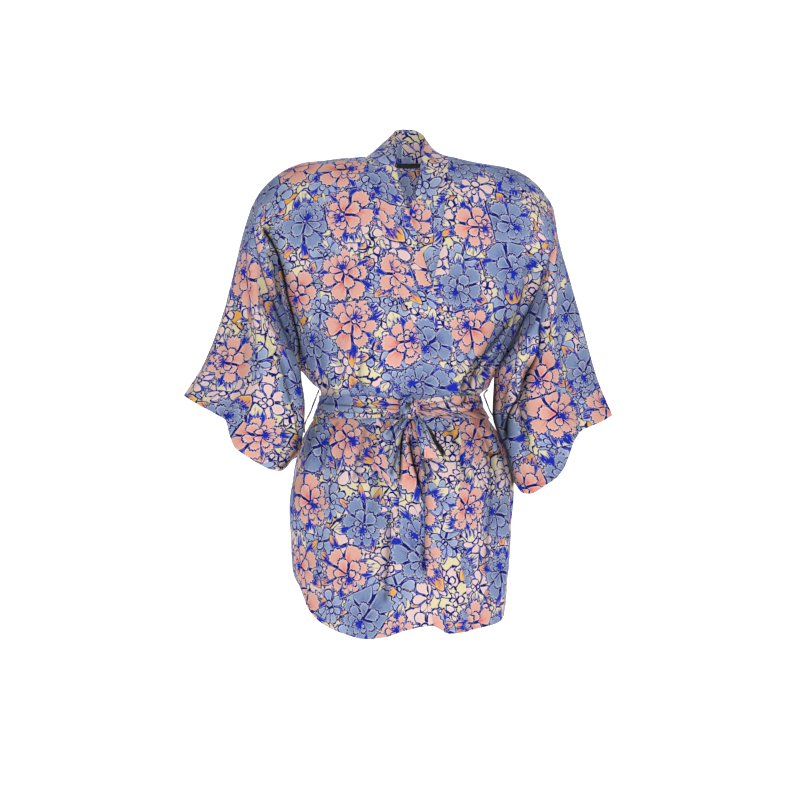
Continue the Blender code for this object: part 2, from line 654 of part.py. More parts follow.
def band_standing(stand, seam_points, path, share):
    """The band where it stands: a strip from the neck seam to its own free edge."""
    free = np.stack([column(stand, "path", axis, path) for axis in "xyz"], axis=-1)
    reach = free - seam_points
    clear = smoothstep((STAND_CLEARANCE_END - path) / STAND_CLEARANCE_RUN)
    offset = SEAM_GAP + STAND_CLEARANCE * clear
    start = seam_points + unit(reach) * offset[..., None]
    out = unit(np.cross(np.gradient(free, axis=0), reach))
    bulge = STAND_BULGE * np.sin(np.pi * share)
    return start + (free - start) * share[..., None] + out * bulge[..., None]


def make_band(name, side, table, stand, lift):
    """A band, from the centre back round the neck and down the front to the hem."""
    share = np.linspace(0, 1, BAND_COLUMNS + 1)[None, :]
    half_turn = neck_angles()[:BACK_NECK_COLUMNS // 2 + 1]
    turn = half_turn if side == RIGHT else np.pi - half_turn
    back_s, back_path = neck_place(turn)
    back_points = cloth_point(BACK, back_s, back_path, no_lift)[::-1]
    back_reach = stand[0].path * np.linspace(1, 0, len(half_turn))
    front_path = np.array(sorted(STAND_PATHS))
    front_s = place_across(seam_place(table, front_path, "seam"), front_path)
    front_points = cloth_point(FRONT, front_s, front_path, lift)
    reach = np.concatenate([back_reach, front_path])[:, None]
    seam_points = np.concatenate([back_points, front_points])[:, None, :]
    standing = band_standing(stand, seam_points, reach, share + np.zeros_like(reach))
    lying = band_on_body(side, table, lift, np.maximum(reach, 0.0), share)
    blend = smoothstep((reach - STAND_BLEND[0]) / (STAND_BLEND[1] - STAND_BLEND[0]))[..., None]
    neck = standing * (1 - blend) + lying * blend
    body_path = np.array([path for path in BODY_PATHS if path >= STAND_BLEND[1]])[:, None]
    body = band_on_body(side, table, lift, body_path, share)
    points = np.concatenate([neck, body])
    points[0, :, 0] += side * SEAM_GAP / 2
    normals = grid_normals(points) * side
    normals[0, :, 0] = 0.0
    wall(name, points, unit(normals), BAND_CLOTH)


def sleeve_line(table, side, name, along):
    """A line of the sleeve, outer or inner, as points."""
    parts = [column(table, "along", name + "_" + axis, along) for axis in "xyz"]
    parts[0] = side * parts[0]
    return np.stack(parts, axis=-1)


def armhole_point(side, around):
    """The armhole edge: around runs down the front edge to the underarm and up the back one."""
    path = UNDERARM * 2 * np.minimum(around, 1 - around)
    s = np.full(path.shape, float(side))
    front = cloth_point(FRONT, s, path, no_lift)
    back = cloth_point(BACK, s, path, no_lift)
    return np.where((around <= 0.5)[..., None], front, back)


def sleeve_base(side, table, around, along):
    """A point of the sleeve tube without its creases."""
    y_axis = np.array([0.0, 1.0, 0.0])
    hole = armhole_point(side, around)
    start_out = sleeve_line(table, side, "outer", np.zeros_like(along))
    start_in = sleeve_line(table, side, "inner", np.zeros_like(along))
    start_axis = start_in - start_out
    start_side = unit(np.cross(y_axis, start_axis))
    from_start = hole - start_out
    hole_across = np.sum(from_start * start_axis, axis=-1) / np.sum(start_axis * start_axis, axis=-1)
    hole_deep = from_start[..., 1]
    hole_side = np.sum(from_start * start_side, axis=-1)

    in_front = around <= 0.5
    turn = 2 * np.minimum(around, 1 - around)
    across = (1 - np.cos(np.pi * turn)) / 2
    peak = np.where(in_front, SLEEVE_FRONT_PEAK[side], SLEEVE_BACK_PEAK)
    peak_turn = np.arccos(1 - 2 * peak) / np.pi
    swell = np.sin(np.pi * turn ** (np.log(0.5) / np.log(peak_turn)))
    front = column(table, "along", "front", along)
    back = column(table, "along", "back", along)
    deep = np.where(in_front, -front, back) * swell

    blend = smoothstep(along / ARMHOLE_REACH)
    across = hole_across * (1 - blend) + across * blend
    deep = hole_deep * (1 - blend) + deep * blend
    aside = hole_side * (1 - blend)
    outer = sleeve_line(table, side, "outer", along)
    inner = sleeve_line(table, side, "inner", along)
    axis = inner - outer
    side_axis = unit(np.cross(y_axis, axis))
    wave_name = "front_right" if side == RIGHT else "front_left"
    wave = np.where(
        in_front,
        column(CUFF_WAVES, "across", wave_name, across),
        column(CUFF_WAVES, "across", "back", across),
    )
    grow = smoothstep((along - CUFF_WAVE_START) / (1 - CUFF_WAVE_START))
    point = outer + axis * across[..., None] + y_axis * deep[..., None] + side_axis * aside[..., None]
    point[..., 2] -= wave * grow
    return point


def sleeve_folds(side, around, along):
    moved = np.zeros(np.broadcast(around, along).shape)
    for fold in SLEEVE_FOLDS:
        if fold.side == side:
            run = (along - fold.top_along) / (fold.low_along - fold.top_along)
            line = fold.top_round + (fold.low_round - fold.top_round) * run
            across = (around - line) / fold.width
            fade = smoothstep(run / SLEEVE_FOLD_FADE)
            moved = moved + fold.depth * fade * np.exp(-across * across)
    return moved


def make_sleeve(name, side, table):
    """A sleeve: an open tube from the armhole edge to the cuff."""
    edge = np.array(UPPER_PATHS) / UNDERARM / 2
    stations = np.concatenate([edge, (1 - edge[::-1])[1:-1]])
    following = np.append(stations[1:], 1.0)
    parts = [stations + (following - stations) * i / SLEEVE_SPLIT for i in range(SLEEVE_SPLIT)]
    around = np.stack(parts, axis=-1).reshape(1, -1)
    along = np.array(SLEEVE_ALONG)[:, None]
    around = around + np.zeros_like(along)
    along = along + np.zeros_like(around)
    points = sleeve_base(side, table, around, along)
    normals = grid_normals(points, closed=True) * side
    points = points + normals * sleeve_folds(side, around, along)[..., None]
    underarm = smoothstep((np.minimum(around[0], 1 - around[0]) - UNDERARM_TURN[0]) / UNDERARM_TURN[1])
    points[0] = on_chords(points[0])
    points[0, :, 0] += side * (SEAM_GAP + UNDERARM_GAP * underarm)
    normals = grid_normals(points, closed=True) * side
    panel_face = np.where(around[0] <= 0.5, FRONT, BACK)
    normals[0] = armhole_normals(side, around[0], panel_face, normals[0], underarm)
    wall(name, points, normals, CLOTH, closed=True)


def on_chords(ring):
    """The ring's in-between stations, set on the straight edges between the panels' own rows."""
    rows = ring[::SLEEVE_SPLIT]
    following = np.roll(rows, -1, axis=0)
    parts = [rows + (following - rows) * i / SLEEVE_SPLIT for i in range(SLEEVE_SPLIT)]
    return np.stack(parts, axis=1).reshape(ring.shape)


def armhole_normals(side, around, panel_face, own, underarm):
    """At the armhole the tube takes the panels' own normals, and keeps its own at the underarm."""
    path = UNDERARM * 2 * np.minimum(around, 1 - around)
    s = np.full(path.shape, float(side))
    panels = {}
    for face in (FRONT, BACK):
        panels[face] = cloth_grid(face, s, path, no_lift)[1]
    panel = np.where((panel_face == FRONT)[:, None], panels[FRONT], panels[BACK])
    weight = underarm[:, None]
    return unit(on_chords(panel) * (1 - weight) + own * weight)


def make_belt():
    """The belt round the waist, a closed ring over the fronts and the back."""
    path = np.linspace(BELT_TOP, BELT_LOW, BELT_ROWS)[:, None]
    s = np.linspace(-1, 1, BELT_COLUMNS + 1)[None, :]
    front, front_out = cloth_grid(FRONT, s + np.zeros_like(path), path + np.zeros_like(s), belt_lift)

    def back_lift(s, path):
        return BELT_LIFT + no_lift(s, path)

    back, back_out = cloth_grid(BACK, s + np.zeros_like(path), path + np.zeros_like(s), back_lift)
    points = np.concatenate([front, back[:, ::-1][:, 1:-1]], axis=1)
    normals = np.concatenate([front_out, back_out[:, ::-1][:, 1:-1]], axis=1)
    wall("belt_waist", points, normals, CLOTH, closed=True)


def knot_centre():
    s = place_across(np.array([KNOT_X]), np.array([BELT_MIDDLE]))
    out = BELT_LIFT + OVERLAP_LIFT + CLOTH / 2 + KNOT_CLEARANCE + KNOT_HALF[1]

    def lift(s, path):
        return out + no_lift(s, path)

    return cloth_point(FRONT, s, np.array([BELT_MIDDLE]), lift)[0]


def make_knot():
    """The knot: a rounded block with a shallow groove where the two ends cross."""
    centre = knot_centre()
    mesh = bmesh.new()
    bmesh.ops.create_icosphere(mesh, subdivisions=KNOT_SUBDIVISIONS, radius=1.0)
    for vertex in mesh.verts:
        direction = np.array(vertex.co)
        size = np.sum(np.abs(direction) ** KNOT_POWER) ** (1 / KNOT_POWER)
        point = direction / size * np.array(KNOT_HALF)
        beside = point[0] * KNOT_GROOVE_LEAN[0] + point[2] * KNOT_GROOVE_LEAN[1]
        groove = np.exp(-(beside / KNOT_GROOVE_WIDTH) ** 2)
        if direction[1] < 0:
            point[1] += KNOT_GROOVE * groove * -direction[1]
        vertex.co = centre + point
    solid("belt_knot", mesh, FABRIC_COLOUR)


def make_ribbon(name, table, slant=0.0):
    """A ribbon of the bow: its table, read evenly along its length, over the front of the body."""
    x = np.array([row.x for row in table])
    path = np.array([row.path for row in table])
    lift = np.array([row.lift for row in table])
    step = np.sqrt(np.diff(x) ** 2 + np.diff(path) ** 2 + np.diff(lift) ** 2)
    run = np.concatenate([[0.0], np.cumsum(step)])
    where = np.linspace(0, run[-1], BOW_ROWS)[:, None]
    across = np.linspace(-1, 1, BOW_COLUMNS)[None, :]
    half = monotone(run, [row.half for row in table], where)
    x = monotone(run, x, where) + across * half
    path = monotone(run, path, where) + across * slant * smoothstep(where / run[-1])
    out = monotone(run, lift, where) + RIBBON_CROWN * (1 - across * across)
    flat_path = np.minimum(path, HEM)

    def hang(s, path):
        return out + no_lift(s, path)

    s = place_across(x, flat_path)
    points = cloth_point(FRONT, s, flat_path, hang)
    normals = -grid_normals(points)
    wall(name, points, normals, CLOTH)


def make_carrier(name, side):
    """A thin belt carrier: a loop sewn to the side seam above and below the belt."""
    path = np.array(CARRIER_PATHS)[:, None]
    lifts = np.array(CARRIER_LIFTS)[:, None]
    s = np.full(path.shape, float(side))
    middle = base_point(FRONT, s, path)
    middle[..., 0] += side * lifts
    middle[..., 1] = 0.0
    width = np.array([-1.0, 1.0])[None, :, None] * CARRIER_HALF * np.array([0.0, 1.0, 0.0])
    points = middle + width
    normals = grid_normals(points)
    wall(name, points, normals, CARRIER_CLOTH)


def make_label():
    """A bare black label on the inside of the back, under the neck seam."""
    x = np.linspace(LABEL_X[0], LABEL_X[1], LABEL_COLUMNS)[None, :]
    angle = np.arccos(np.clip((NECK_CENTRE - x) / NECK_HALF, -1, 1))
    top = NECK_BACK * np.sin(angle)
    path = top + np.linspace(LABEL_DROP[0], LABEL_DROP[1], LABEL_ROWS)[:, None]
    s = place_across(x + np.zeros_like(path), path)

    def lift(s, path):
        return LABEL_LIFT + no_lift(s, path)

    points, normals = cloth_grid(BACK, s, path, lift)
    wall("neck_label", points, normals, LABEL_CLOTH, LABEL_COLOUR)


def clear_scene():
    for item in list(bpy.data.objects):
        bpy.data.objects.remove(item)


def main():
    clear_scene()
    make_back()
    make_front("front_right", RIGHT, UPPER_EDGE, upper_lift)
    make_front("front_left", LEFT, LOWER_EDGE, no_lift)
    make_band("band_right", RIGHT, UPPER_EDGE, RIGHT_STAND, upper_lift)
    make_band("band_left", LEFT, LOWER_EDGE, LEFT_STAND, no_lift)
    make_sleeve("sleeve_right", RIGHT, RIGHT_SLEEVE)
    make_sleeve("sleeve_left", LEFT, LEFT_SLEEVE)
    make_belt()
    make_knot()
    make_ribbon("belt_loop", BOW_LOOP)
    make_ribbon("belt_tail_short", SHORT_TAIL, SHORT_TAIL_SLANT)
    make_ribbon("belt_tail_long", LONG_TAIL, LONG_TAIL_SLANT)
    make_carrier("carrier_right", RIGHT)
    make_carrier("carrier_left", LEFT)
    make_label()


main()
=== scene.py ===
"""Looks of the short kimono robe: thin cloth shells on the solids, their print, light and camera.

Metres, +Z up. The front faces -Y, and right and left are the wearer's, so the right side is -X.
The first half repeats the named sizes, tables and surfaces of the part's own source, so that each
shell lies on its solid. The second half adds what only shows: creases, crumples, seams, the print.
"""

from collections import namedtuple

import bpy
import numpy as np
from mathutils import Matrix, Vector


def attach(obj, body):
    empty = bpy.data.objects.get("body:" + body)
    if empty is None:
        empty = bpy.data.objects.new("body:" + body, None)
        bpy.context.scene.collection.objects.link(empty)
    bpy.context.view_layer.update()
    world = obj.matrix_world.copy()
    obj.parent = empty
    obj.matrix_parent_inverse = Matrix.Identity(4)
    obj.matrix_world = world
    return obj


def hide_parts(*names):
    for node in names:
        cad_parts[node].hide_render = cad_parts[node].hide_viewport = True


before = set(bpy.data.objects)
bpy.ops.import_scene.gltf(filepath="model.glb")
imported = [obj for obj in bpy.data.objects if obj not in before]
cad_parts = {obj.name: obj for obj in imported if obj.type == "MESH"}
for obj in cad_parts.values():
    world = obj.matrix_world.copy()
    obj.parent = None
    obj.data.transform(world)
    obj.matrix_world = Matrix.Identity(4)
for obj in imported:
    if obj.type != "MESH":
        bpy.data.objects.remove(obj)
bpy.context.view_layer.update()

FRONT = -1
BACK = 1
RIGHT = -1
LEFT = 1


def table(columns, *rows):
    """Rows with named columns."""
    row = namedtuple("row", columns)
    return [row(*values) for values in rows]


CLOTH = 0.0015
SEAM_GAP = 0.0003
OVERLAP_LIFT = 0.0040

NECK_CENTRE = 0.009
NECK_HALF = 0.071
NECK_BACK = 0.035
UNDERARM = 0.36
BELT_TOP = 0.488
BELT_LOW = 0.534
BELT_MIDDLE = (BELT_TOP + BELT_LOW) / 2
HEM = 0.912

# How near the shoulder line (path) and a side seam (s) a point counts as on the seam.
ON_SHOULDER = 0.001
ON_SIDE = 0.998
NORMAL_STEP = 0.0004
HALVINGS = 40

# How full the chest section is towards the armholes, and how much sooner the armhole's depth dies
# away towards the chest where the section is round.
ARCH_POWER = 2.4
EDGE_FALL = 2.0

# Sections of the body by their path, the length of cloth from the shoulder line.
SECTIONS = table(
    "path drop half front back edge slope round shift",
    (0, 0, 0.264, 0, 0, 0, 1, 0, 0.004),
    (0.02, 0.0015, 0.264, 0.0198, 0.0198, 0.015, 1, 0, 0.004),
    (0.05, 0.011, 0.264, 0.048, 0.05, 0.034, 1, 0, 0.004),
    (0.09, 0.035, 0.263, 0.079, 0.083, 0.056, 0.98, 0, 0.004),
    (0.14, 0.079, 0.261, 0.097, 0.101, 0.07, 0.85, 0, 0.004),
    (0.22, 0.158, 0.252, 0.111, 0.106, 0.072, 0.42, 0.1, 0.003),
    (0.28, 0.22, 0.24, 0.117, 0.104, 0.056, 0.12, 0.5, 0.002),
    (0.32, 0.261, 0.227, 0.117, 0.101, 0.039, 0.03, 0.85, 0.001),
    (0.346, 0.2865, 0.2172, 0.116, 0.099, 0.022, 0.01, 0.97, 0.0003),
    (0.36, 0.3, 0.212, 0.115, 0.098, 0, 0, 1, 0),
    (0.42, 0.36, 0.19, 0.111, 0.095, 0, 0, 1, -0.001),
    (0.455, 0.395, 0.162, 0.102, 0.091, 0, 0, 1, -0.0005),
    (0.472, 0.4103, 0.1508, 0.0955, 0.0882, 0, 0, 1, 0.0035),
    (0.488, 0.4245, 0.141, 0.088, 0.085, 0, 0, 1, -0.003),
    (0.511, 0.446, 0.145, 0.0865, 0.084, 0, 0, 1, -0.003),
    (0.534, 0.467, 0.1555, 0.09, 0.087, 0, 0, 1, -0.0018),
    (0.548, 0.4806, 0.165, 0.0955, 0.092, 0, 0, 1, -0.0012),
    (0.58, 0.51, 0.1805, 0.108, 0.104, 0, 0, 1, 0.001),
    (0.64, 0.57, 0.195, 0.12, 0.116, 0, 0, 1, 0.003),
    (0.68, 0.61, 0.1985, 0.124, 0.12, 0, 0, 1, 0),
    (0.72, 0.65, 0.1965, 0.126, 0.122, 0, 0, 1, -0.002),
    (0.79, 0.72, 0.193, 0.126, 0.122, 0, 0, 1, -0.002),
    (0.83, 0.76, 0.189, 0.125, 0.121, 0, 0, 1, -0.002),
    (0.912, 0.842, 0.184, 0.122, 0.119, 0, 0, 1, -0.002),
)

# How the shoulder line falls away from the neck, right then left: its slope, and the drop and turn
# of its round end.
SHOULDERS = table("pitch roll power", (0.11, 0.06, 2.5), (0.2, 0.047, 3.5))
ROLL_START = 0.160
ROLL_WIDTH = 0.105

# Where the band is sewn to its front and where its free edge runs, across the body.
UPPER_EDGE = table(
    "drop seam free",
    (0, -0.062, -0.02), (0.087, -0.045, 0.004), (0.103, -0.0418, 0.0085), (0.131, -0.0362, 0.0189),
    (0.175, -0.0276, 0.0322), (0.244, -0.007, 0.0535), (0.338, 0.0306, 0.0885), (0.381, 0.035, 0.0942),
    (0.432, 0.0396, 0.0985), (0.537, 0.0376, 0.0978), (0.7, 0.0385, 0.0975), (0.764, 0.043, 0.1076),
    (0.842, 0.053, 0.112),
)
LOWER_EDGE = table(
    "drop seam free",
    (0, 0.08, 0.04), (0.103, 0.073, 0.014), (0.131, 0.0706, 0.006), (0.166, 0.067, -0.006),
    (0.236, 0.0512, -0.022), (0.338, -0.005, -0.066), (0.432, -0.03, -0.09), (0.537, -0.032, -0.092),
    (0.842, -0.035, -0.095),
)

# The free edge of the standing part of each band, by the length of cloth from the shoulder seam,
# counted down the front and, below zero, round the back of the neck.
RIGHT_STAND = table(
    "path x y z",
    (-0.09, 0.0045, 0.0465, 0.0565),
    (-0.06, -0.0105, 0.036, 0.0535),
    (-0.02, -0.0155, 0.012, 0.0415),
    (0.03, -0.016, -0.025, 0.016),
    (0.08, -0.0125, -0.06, -0.0142),
    (0.13, -0.0036, -0.088, -0.064),
    (0.17, 0.012, -0.102, -0.105),
)
LEFT_STAND = table(
    "path x y z",
    (-0.09, 0.0045, 0.0465, 0.0565),
    (-0.06, 0.023, 0.04, 0.054),
    (-0.02, 0.041, 0.012, 0.0345),
    (0.03, 0.039, -0.025, 0.0125),
    (0.08, 0.0338, -0.06, -0.0142),
    (0.13, 0.0285, -0.088, -0.0587),
    (0.17, 0.012, -0.0975, -0.105),
)
STAND_BLEND = (0.110, 0.170)
STAND_BULGE = 0.0030

# Round the neck the band stands a little further off the seam, back to nothing by this path.
STAND_CLEARANCE = 0.0011
STAND_CLEARANCE_END = 0.13
STAND_CLEARANCE_RUN = 0.08

# How much shorter the cloth is than HEM at each place across.
FRONT_HEM = table(
    "s rise",
    (-1, 0.112), (-0.9, 0.105), (-0.775, 0.086), (-0.654, 0.045), (-0.496, 0.0215), (-0.353, 0.0086),
    (-0.21, 0.001), (-0.095, 0.0047), (0.025, 0.016), (0.175, 0.024), (0.298, 0.009), (0.498, 0.014),
    (0.784, 0.022), (0.87, 0.032), (1, 0.062),
)
BACK_HEM = table(
    "s rise",
    (-1, 0.112), (-0.7, 0.06), (-0.35, 0.028), (0, 0.02), (0.4, 0.026), (0.75, 0.046), (1, 0.062),
)

# Long creases. Across and down are s and path on the body, and places around and along on a sleeve.
# A width is in metres on the body and a share of the way around on a sleeve. A negative depth is a
# trough, a positive one a ridge.
FOLD = "top_across top_down low_across low_down width depth"
FOLDS = {
    FRONT: table(
        FOLD,
        (0.02, 0.545, 0.1, 0.73, 0.013, -0.008),
        (-0.05, 0.69, -0.085, 0.88, 0.016, -0.005),
        (-0.48, 0.56, -0.56, 0.8, 0.022, -0.0065),
        (-0.78, 0.6, -0.8, 0.86, 0.018, 0.004),
        (0.56, 0.56, 0.64, 0.85, 0.02, -0.006),
        (0.88, 0.6, 0.9, 0.89, 0.013, -0.006),
        (0.78, 0.68, 0.79, 0.9, 0.016, 0.005),
        (0.66, 0.33, 0.5, 0.48, 0.016, -0.005),
        (-0.7, 0.3, -0.52, 0.48, 0.018, -0.0045),
        (-0.3, 0.2, -0.42, 0.44, 0.022, -0.0035),
        (-0.98, 0.15, -0.71, 0.44, 0.016, -0.0125),
        (0.96, 0.15, 0.74, 0.42, 0.018, -0.008),
    ),
    BACK: table(
        FOLD,
        (-0.88, 0.11, -0.7, 0.35, 0.022, -0.006),
        (0.88, 0.11, 0.72, 0.35, 0.022, -0.0055),
        (-0.45, 0.22, -0.38, 0.47, 0.022, -0.007),
        (0.08, 0.16, 0.05, 0.47, 0.026, -0.006),
        (0.52, 0.26, 0.4, 0.475, 0.02, -0.005),
        (-0.62, 0.55, -0.7, 0.83, 0.022, -0.0075),
        (-0.18, 0.55, -0.22, 0.85, 0.024, -0.009),
        (0.24, 0.55, 0.3, 0.8, 0.022, -0.007),
        (0.66, 0.57, 0.72, 0.86, 0.024, -0.008),
    ),
}

# Gathers that the belt pulls in: a depth just above it and one just below it.
GATHER = "s width above below"
GATHERS = {
    FRONT: table(
        GATHER,
        (-0.87, 0.011, 0.0035, -0.003),
        (-0.7, 0.012, -0.0045, 0.0035),
        (-0.54, 0.011, 0.004, -0.004),
        (-0.38, 0.012, -0.005, 0.0035),
        (-0.22, 0.011, 0.0035, -0.0045),
        (-0.07, 0.01, -0.004, 0.0025),
        (0.12, 0.011, 0.003, 0.0025),
        (0.33, 0.012, -0.0035, 0.003),
        (0.52, 0.011, -0.0045, -0.004),
        (0.68, 0.011, 0.005, 0.0035),
        (0.84, 0.011, -0.004, -0.0035),
    ),
    BACK: table(
        GATHER,
        (-0.84, 0.012, -0.004, 0.004),
        (-0.64, 0.013, 0.005, -0.0045),
        (-0.43, 0.012, -0.005, 0.004),
        (-0.23, 0.013, 0.0045, -0.005),
        (-0.03, 0.012, -0.0055, 0.0045),
        (0.18, 0.013, 0.0045, -0.0045),
        (0.37, 0.012, -0.005, 0.005),
        (0.58, 0.013, 0.005, -0.0045),
        (0.8, 0.012, -0.0045, 0.0035),
    ),
}
GATHER_ABOVE = 0.12
GATHER_BELOW = 0.19
GATHER_START = 0.004

# Cloth length across half a section, over its half width.
GIRTH = 1.25
# The share of a crease's length over which it rises and dies away.
FOLD_FADE_IN = 0.30
FOLD_FADE_OUT = 0.35
GATHER_FADE_ABOVE = 0.20
GATHER_FADE_BELOW = 0.15
SIDE_FADE = 0.08
SLEEVE_FOLD_FADE = 0.40

# Each sleeve runs from its armhole to its cuff. The outer line leaves the shoulder, the inner one
# the underarm; x is measured away from the middle, and depths are in front of and behind the lines.
RIGHT_SLEEVE = table(
    "along outer_x outer_y outer_z inner_x inner_y inner_z front back",
    (0, 0.26, 0, -0.085, 0.212, 0, -0.3, 0.07, 0.07),
    (0.15, 0.276, -0.004, -0.1335, 0.208, -0.022, -0.335, 0.066, 0.064),
    (0.36, 0.297, -0.01, -0.21, 0.177, -0.062, -0.388, 0.052, 0.062),
    (0.6, 0.32, -0.018, -0.29, 0.169, -0.07, -0.4496, 0.045, 0.062),
    (0.83, 0.351, -0.025, -0.37, 0.175, -0.072, -0.509, 0.042, 0.062),
    (1, 0.384, -0.03, -0.425, 0.1985, -0.072, -0.5455, 0.044, 0.064),
)
LEFT_SLEEVE = table(
    "along outer_x outer_y outer_z inner_x inner_y inner_z front back",
    (0, 0.268, 0, -0.088, 0.212, 0, -0.3, 0.07, 0.07),
    (0.12, 0.275, -0.004, -0.1335, 0.209, -0.02, -0.33, 0.068, 0.065),
    (0.34, 0.299, -0.01, -0.219, 0.168, -0.062, -0.393, 0.056, 0.062),
    (0.57, 0.322, -0.018, -0.308, 0.1585, -0.07, -0.459, 0.048, 0.062),
    (0.82, 0.347, -0.025, -0.397, 0.182, -0.072, -0.5267, 0.044, 0.062),
    (1, 0.372, -0.03, -0.459, 0.1942, -0.072, -0.5765, 0.046, 0.064),
)
SLEEVE_FRONT_PEAK = {RIGHT: 0.58, LEFT: 0.70}
SLEEVE_BACK_PEAK = 0.45
ARMHOLE_REACH = 0.55

# How far the cuff hangs below the straight line between its two ends.
CUFF_WAVES = table(
    "across front_right front_left back",
    (0, 0, 0, 0),
    (0.12, -0.002, -0.003, -0.003),
    (0.33, -0.008, -0.012, -0.008),
    (0.42, -0.01, -0.004, -0.006),
    (0.47, 0.014, 0.011, -0.002),
    (0.53, 0.028, 0.029, 0.003),
    (0.62, 0.029, 0.038, 0.008),
    (0.8, 0.027, 0.037, 0.012),
    (0.93, 0.018, 0.024, 0.008),
    (1, 0, 0, 0),
)
CUFF_WAVE_START = 0.55

# Creases of the sleeves. Around runs from the shoulder line (0) over the front to the underarm (0.5)
# and back up behind (1), along from the armhole to the cuff.
SLEEVE_FOLDS = {
    RIGHT: table(
        FOLD,
        (0.13, 0.1, 0.215, 1.05, 0.022, -0.008),
        (0.24, 0.4, 0.265, 1.05, 0.026, 0.008),
        (0.33, 0.2, 0.36, 1.05, 0.026, -0.006),
        (0.06, 0.2, 0.09, 1.05, 0.024, 0.005),
        (0.66, 0.15, 0.64, 1.05, 0.026, -0.007),
        (0.78, 0.3, 0.76, 1.05, 0.026, 0.006),
        (0.88, 0.15, 0.86, 1.05, 0.024, -0.006),
    ),
    LEFT: table(
        FOLD,
        (0.12, 0.15, 0.19, 1.05, 0.024, -0.008),
        (0.23, 0.3, 0.25, 1.05, 0.024, 0.006),
        (0.29, 0.2, 0.31, 1.05, 0.02, -0.007),
        (0.37, 0.25, 0.36, 1.05, 0.022, 0.007),
        (0.68, 0.15, 0.66, 1.05, 0.026, -0.007),
        (0.78, 0.25, 0.77, 1.05, 0.026, 0.006),
        (0.89, 0.2, 0.87, 1.05, 0.024, -0.006),
    ),
}

BELT_LIFT = 0.0027
BELT_EASE = (0.50, 0.80)
OVERLAP_SIDE = 0.50
OVERLAP_TOP = 0.14

KNOT_X = 0.0115
KNOT_HALF = (0.0160, 0.0105, 0.0185)
KNOT_CLEARANCE = 0.0012

# The bow: ribbons that hang from the knot, by place across, path, lift off the body and half width.
BOW_LOOP = table(
    "x path lift half",
    (0.02, 0.5389, 0.0265, 0.006),
    (0.0258, 0.548, 0.032, 0.0062),
    (0.03, 0.565, 0.036, 0.0085),
    (0.037, 0.585, 0.037, 0.0114),
    (0.0437, 0.6, 0.0347, 0.014),
    (0.0484, 0.6075, 0.029, 0.0165),
    (0.052, 0.606, 0.023, 0.0195),
    (0.0508, 0.595, 0.0195, 0.0175),
    (0.0418, 0.575, 0.019, 0.0135),
    (0.0343, 0.555, 0.019, 0.0095),
    (0.0235, 0.5389, 0.0195, 0.0065),
)
SHORT_TAIL = table(
    "x path lift half",
    (0.003, 0.5392, 0.0225, 0.006),
    (-0.006, 0.55, 0.0215, 0.0105),
    (-0.016, 0.57, 0.018, 0.014),
    (-0.0235, 0.595, 0.015, 0.0168),
    (-0.03, 0.618, 0.0135, 0.017),
    (-0.033, 0.633, 0.013, 0.0165),
)
LONG_TAIL = table(
    "x path lift half",
    (0.011, 0.5385, 0.0145, 0.007),
    (0.0125, 0.555, 0.013, 0.012),
    (0.0135, 0.59, 0.0115, 0.0165),
    (0.0145, 0.63, 0.011, 0.019),
    (0.015, 0.67, 0.0105, 0.02),
    (0.0155, 0.705, 0.0105, 0.0205),
    (0.016, 0.74, 0.0105, 0.0205),
)
SHORT_TAIL_SLANT = 0.018
LONG_TAIL_SLANT = 0.008
RIBBON_CROWN = 0.0015

CARRIER_PATHS = (0.476, 0.481, BELT_TOP, BELT_MIDDLE, BELT_LOW, 0.548, 0.560)
CARRIER_LIFTS = (0.0030, 0.0048, 0.0080, 0.0120, 0.0125, 0.0075, 0.0018)
CARRIER_HALF = 0.0017

LABEL_X = (-0.0100, 0.0330)
LABEL_DROP = (0.003, 0.017)
LABEL_LIFT = -0.0016


def smoothstep(value):
    value = np.clip(value, 0.0, 1.0)
    return value * value * (3.0 - 2.0 * value)


def monotone(keys, values, where):
    """A smooth curve through the rows of a table that never overshoots them."""
    keys = np.asarray(keys, float)
    values = np.asarray(values, float)
    step = np.diff(keys)
    rise = np.diff(values) / step
    slope = np.zeros(len(values))
    slope[0] = rise[0]
    slope[-1] = rise[-1]
    for i in range(1, len(values) - 1):
        if rise[i - 1] * rise[i] > 0:
            before = 2 * step[i] + step[i - 1]
            after = step[i] + 2 * step[i - 1]
            slope[i] = (before + after) / (before / rise[i - 1] + after / rise[i])
    i = np.clip(np.searchsorted(keys, where, side="right") - 1, 0, len(keys) - 2)
    t = np.clip((where - keys[i]) / step[i], 0.0, 1.0)
    low = values[i] * (1 + 2 * t) * (1 - t) ** 2 + values[i + 1] * t * t * (3 - 2 * t)
    return low + step[i] * t * (1 - t) * (slope[i] * (1 - t) - slope[i + 1] * t)


def column(rows, key, value, where):
    """One named column of a table, read at places of its key column."""
    return monotone([getattr(row, key) for row in rows], [getattr(row, value) for row in rows], where)


def section(name, path):
    return column(SECTIONS, "path", name, path)


def bend(s, path):
    """Where s lies across the section, from -1 to 1: flat above the armholes, round below."""
    roundness = section("round", path)
    return (1 - roundness) * s + roundness * np.sin(np.pi * s / 2)


def place_across(x, path):
    """The s at which the body surface has this x."""
    wanted = (x - section("shift", path)) / section("half", path)
    low = -np.ones_like(wanted)
    high = np.ones_like(wanted)
    for _ in range(HALVINGS):
        middle = (low + high) / 2
        short = bend(middle, path) < wanted
        low = np.where(short, middle, low)
        high = np.where(short, high, middle)
    return (low + high) / 2


def shoulder_fall(x):
    """The height of the shoulder line, zero at the neck points."""
    beyond_neck = np.maximum(np.abs(x - NECK_CENTRE) - NECK_HALF, 0.0)
    beyond_roll = np.maximum((np.abs(x) - ROLL_START) / ROLL_WIDTH, 0.0)
    right, left = [row.pitch * beyond_neck + row.roll * beyond_roll ** row.power for row in SHOULDERS]
    return -np.where(x < 0, right, left)


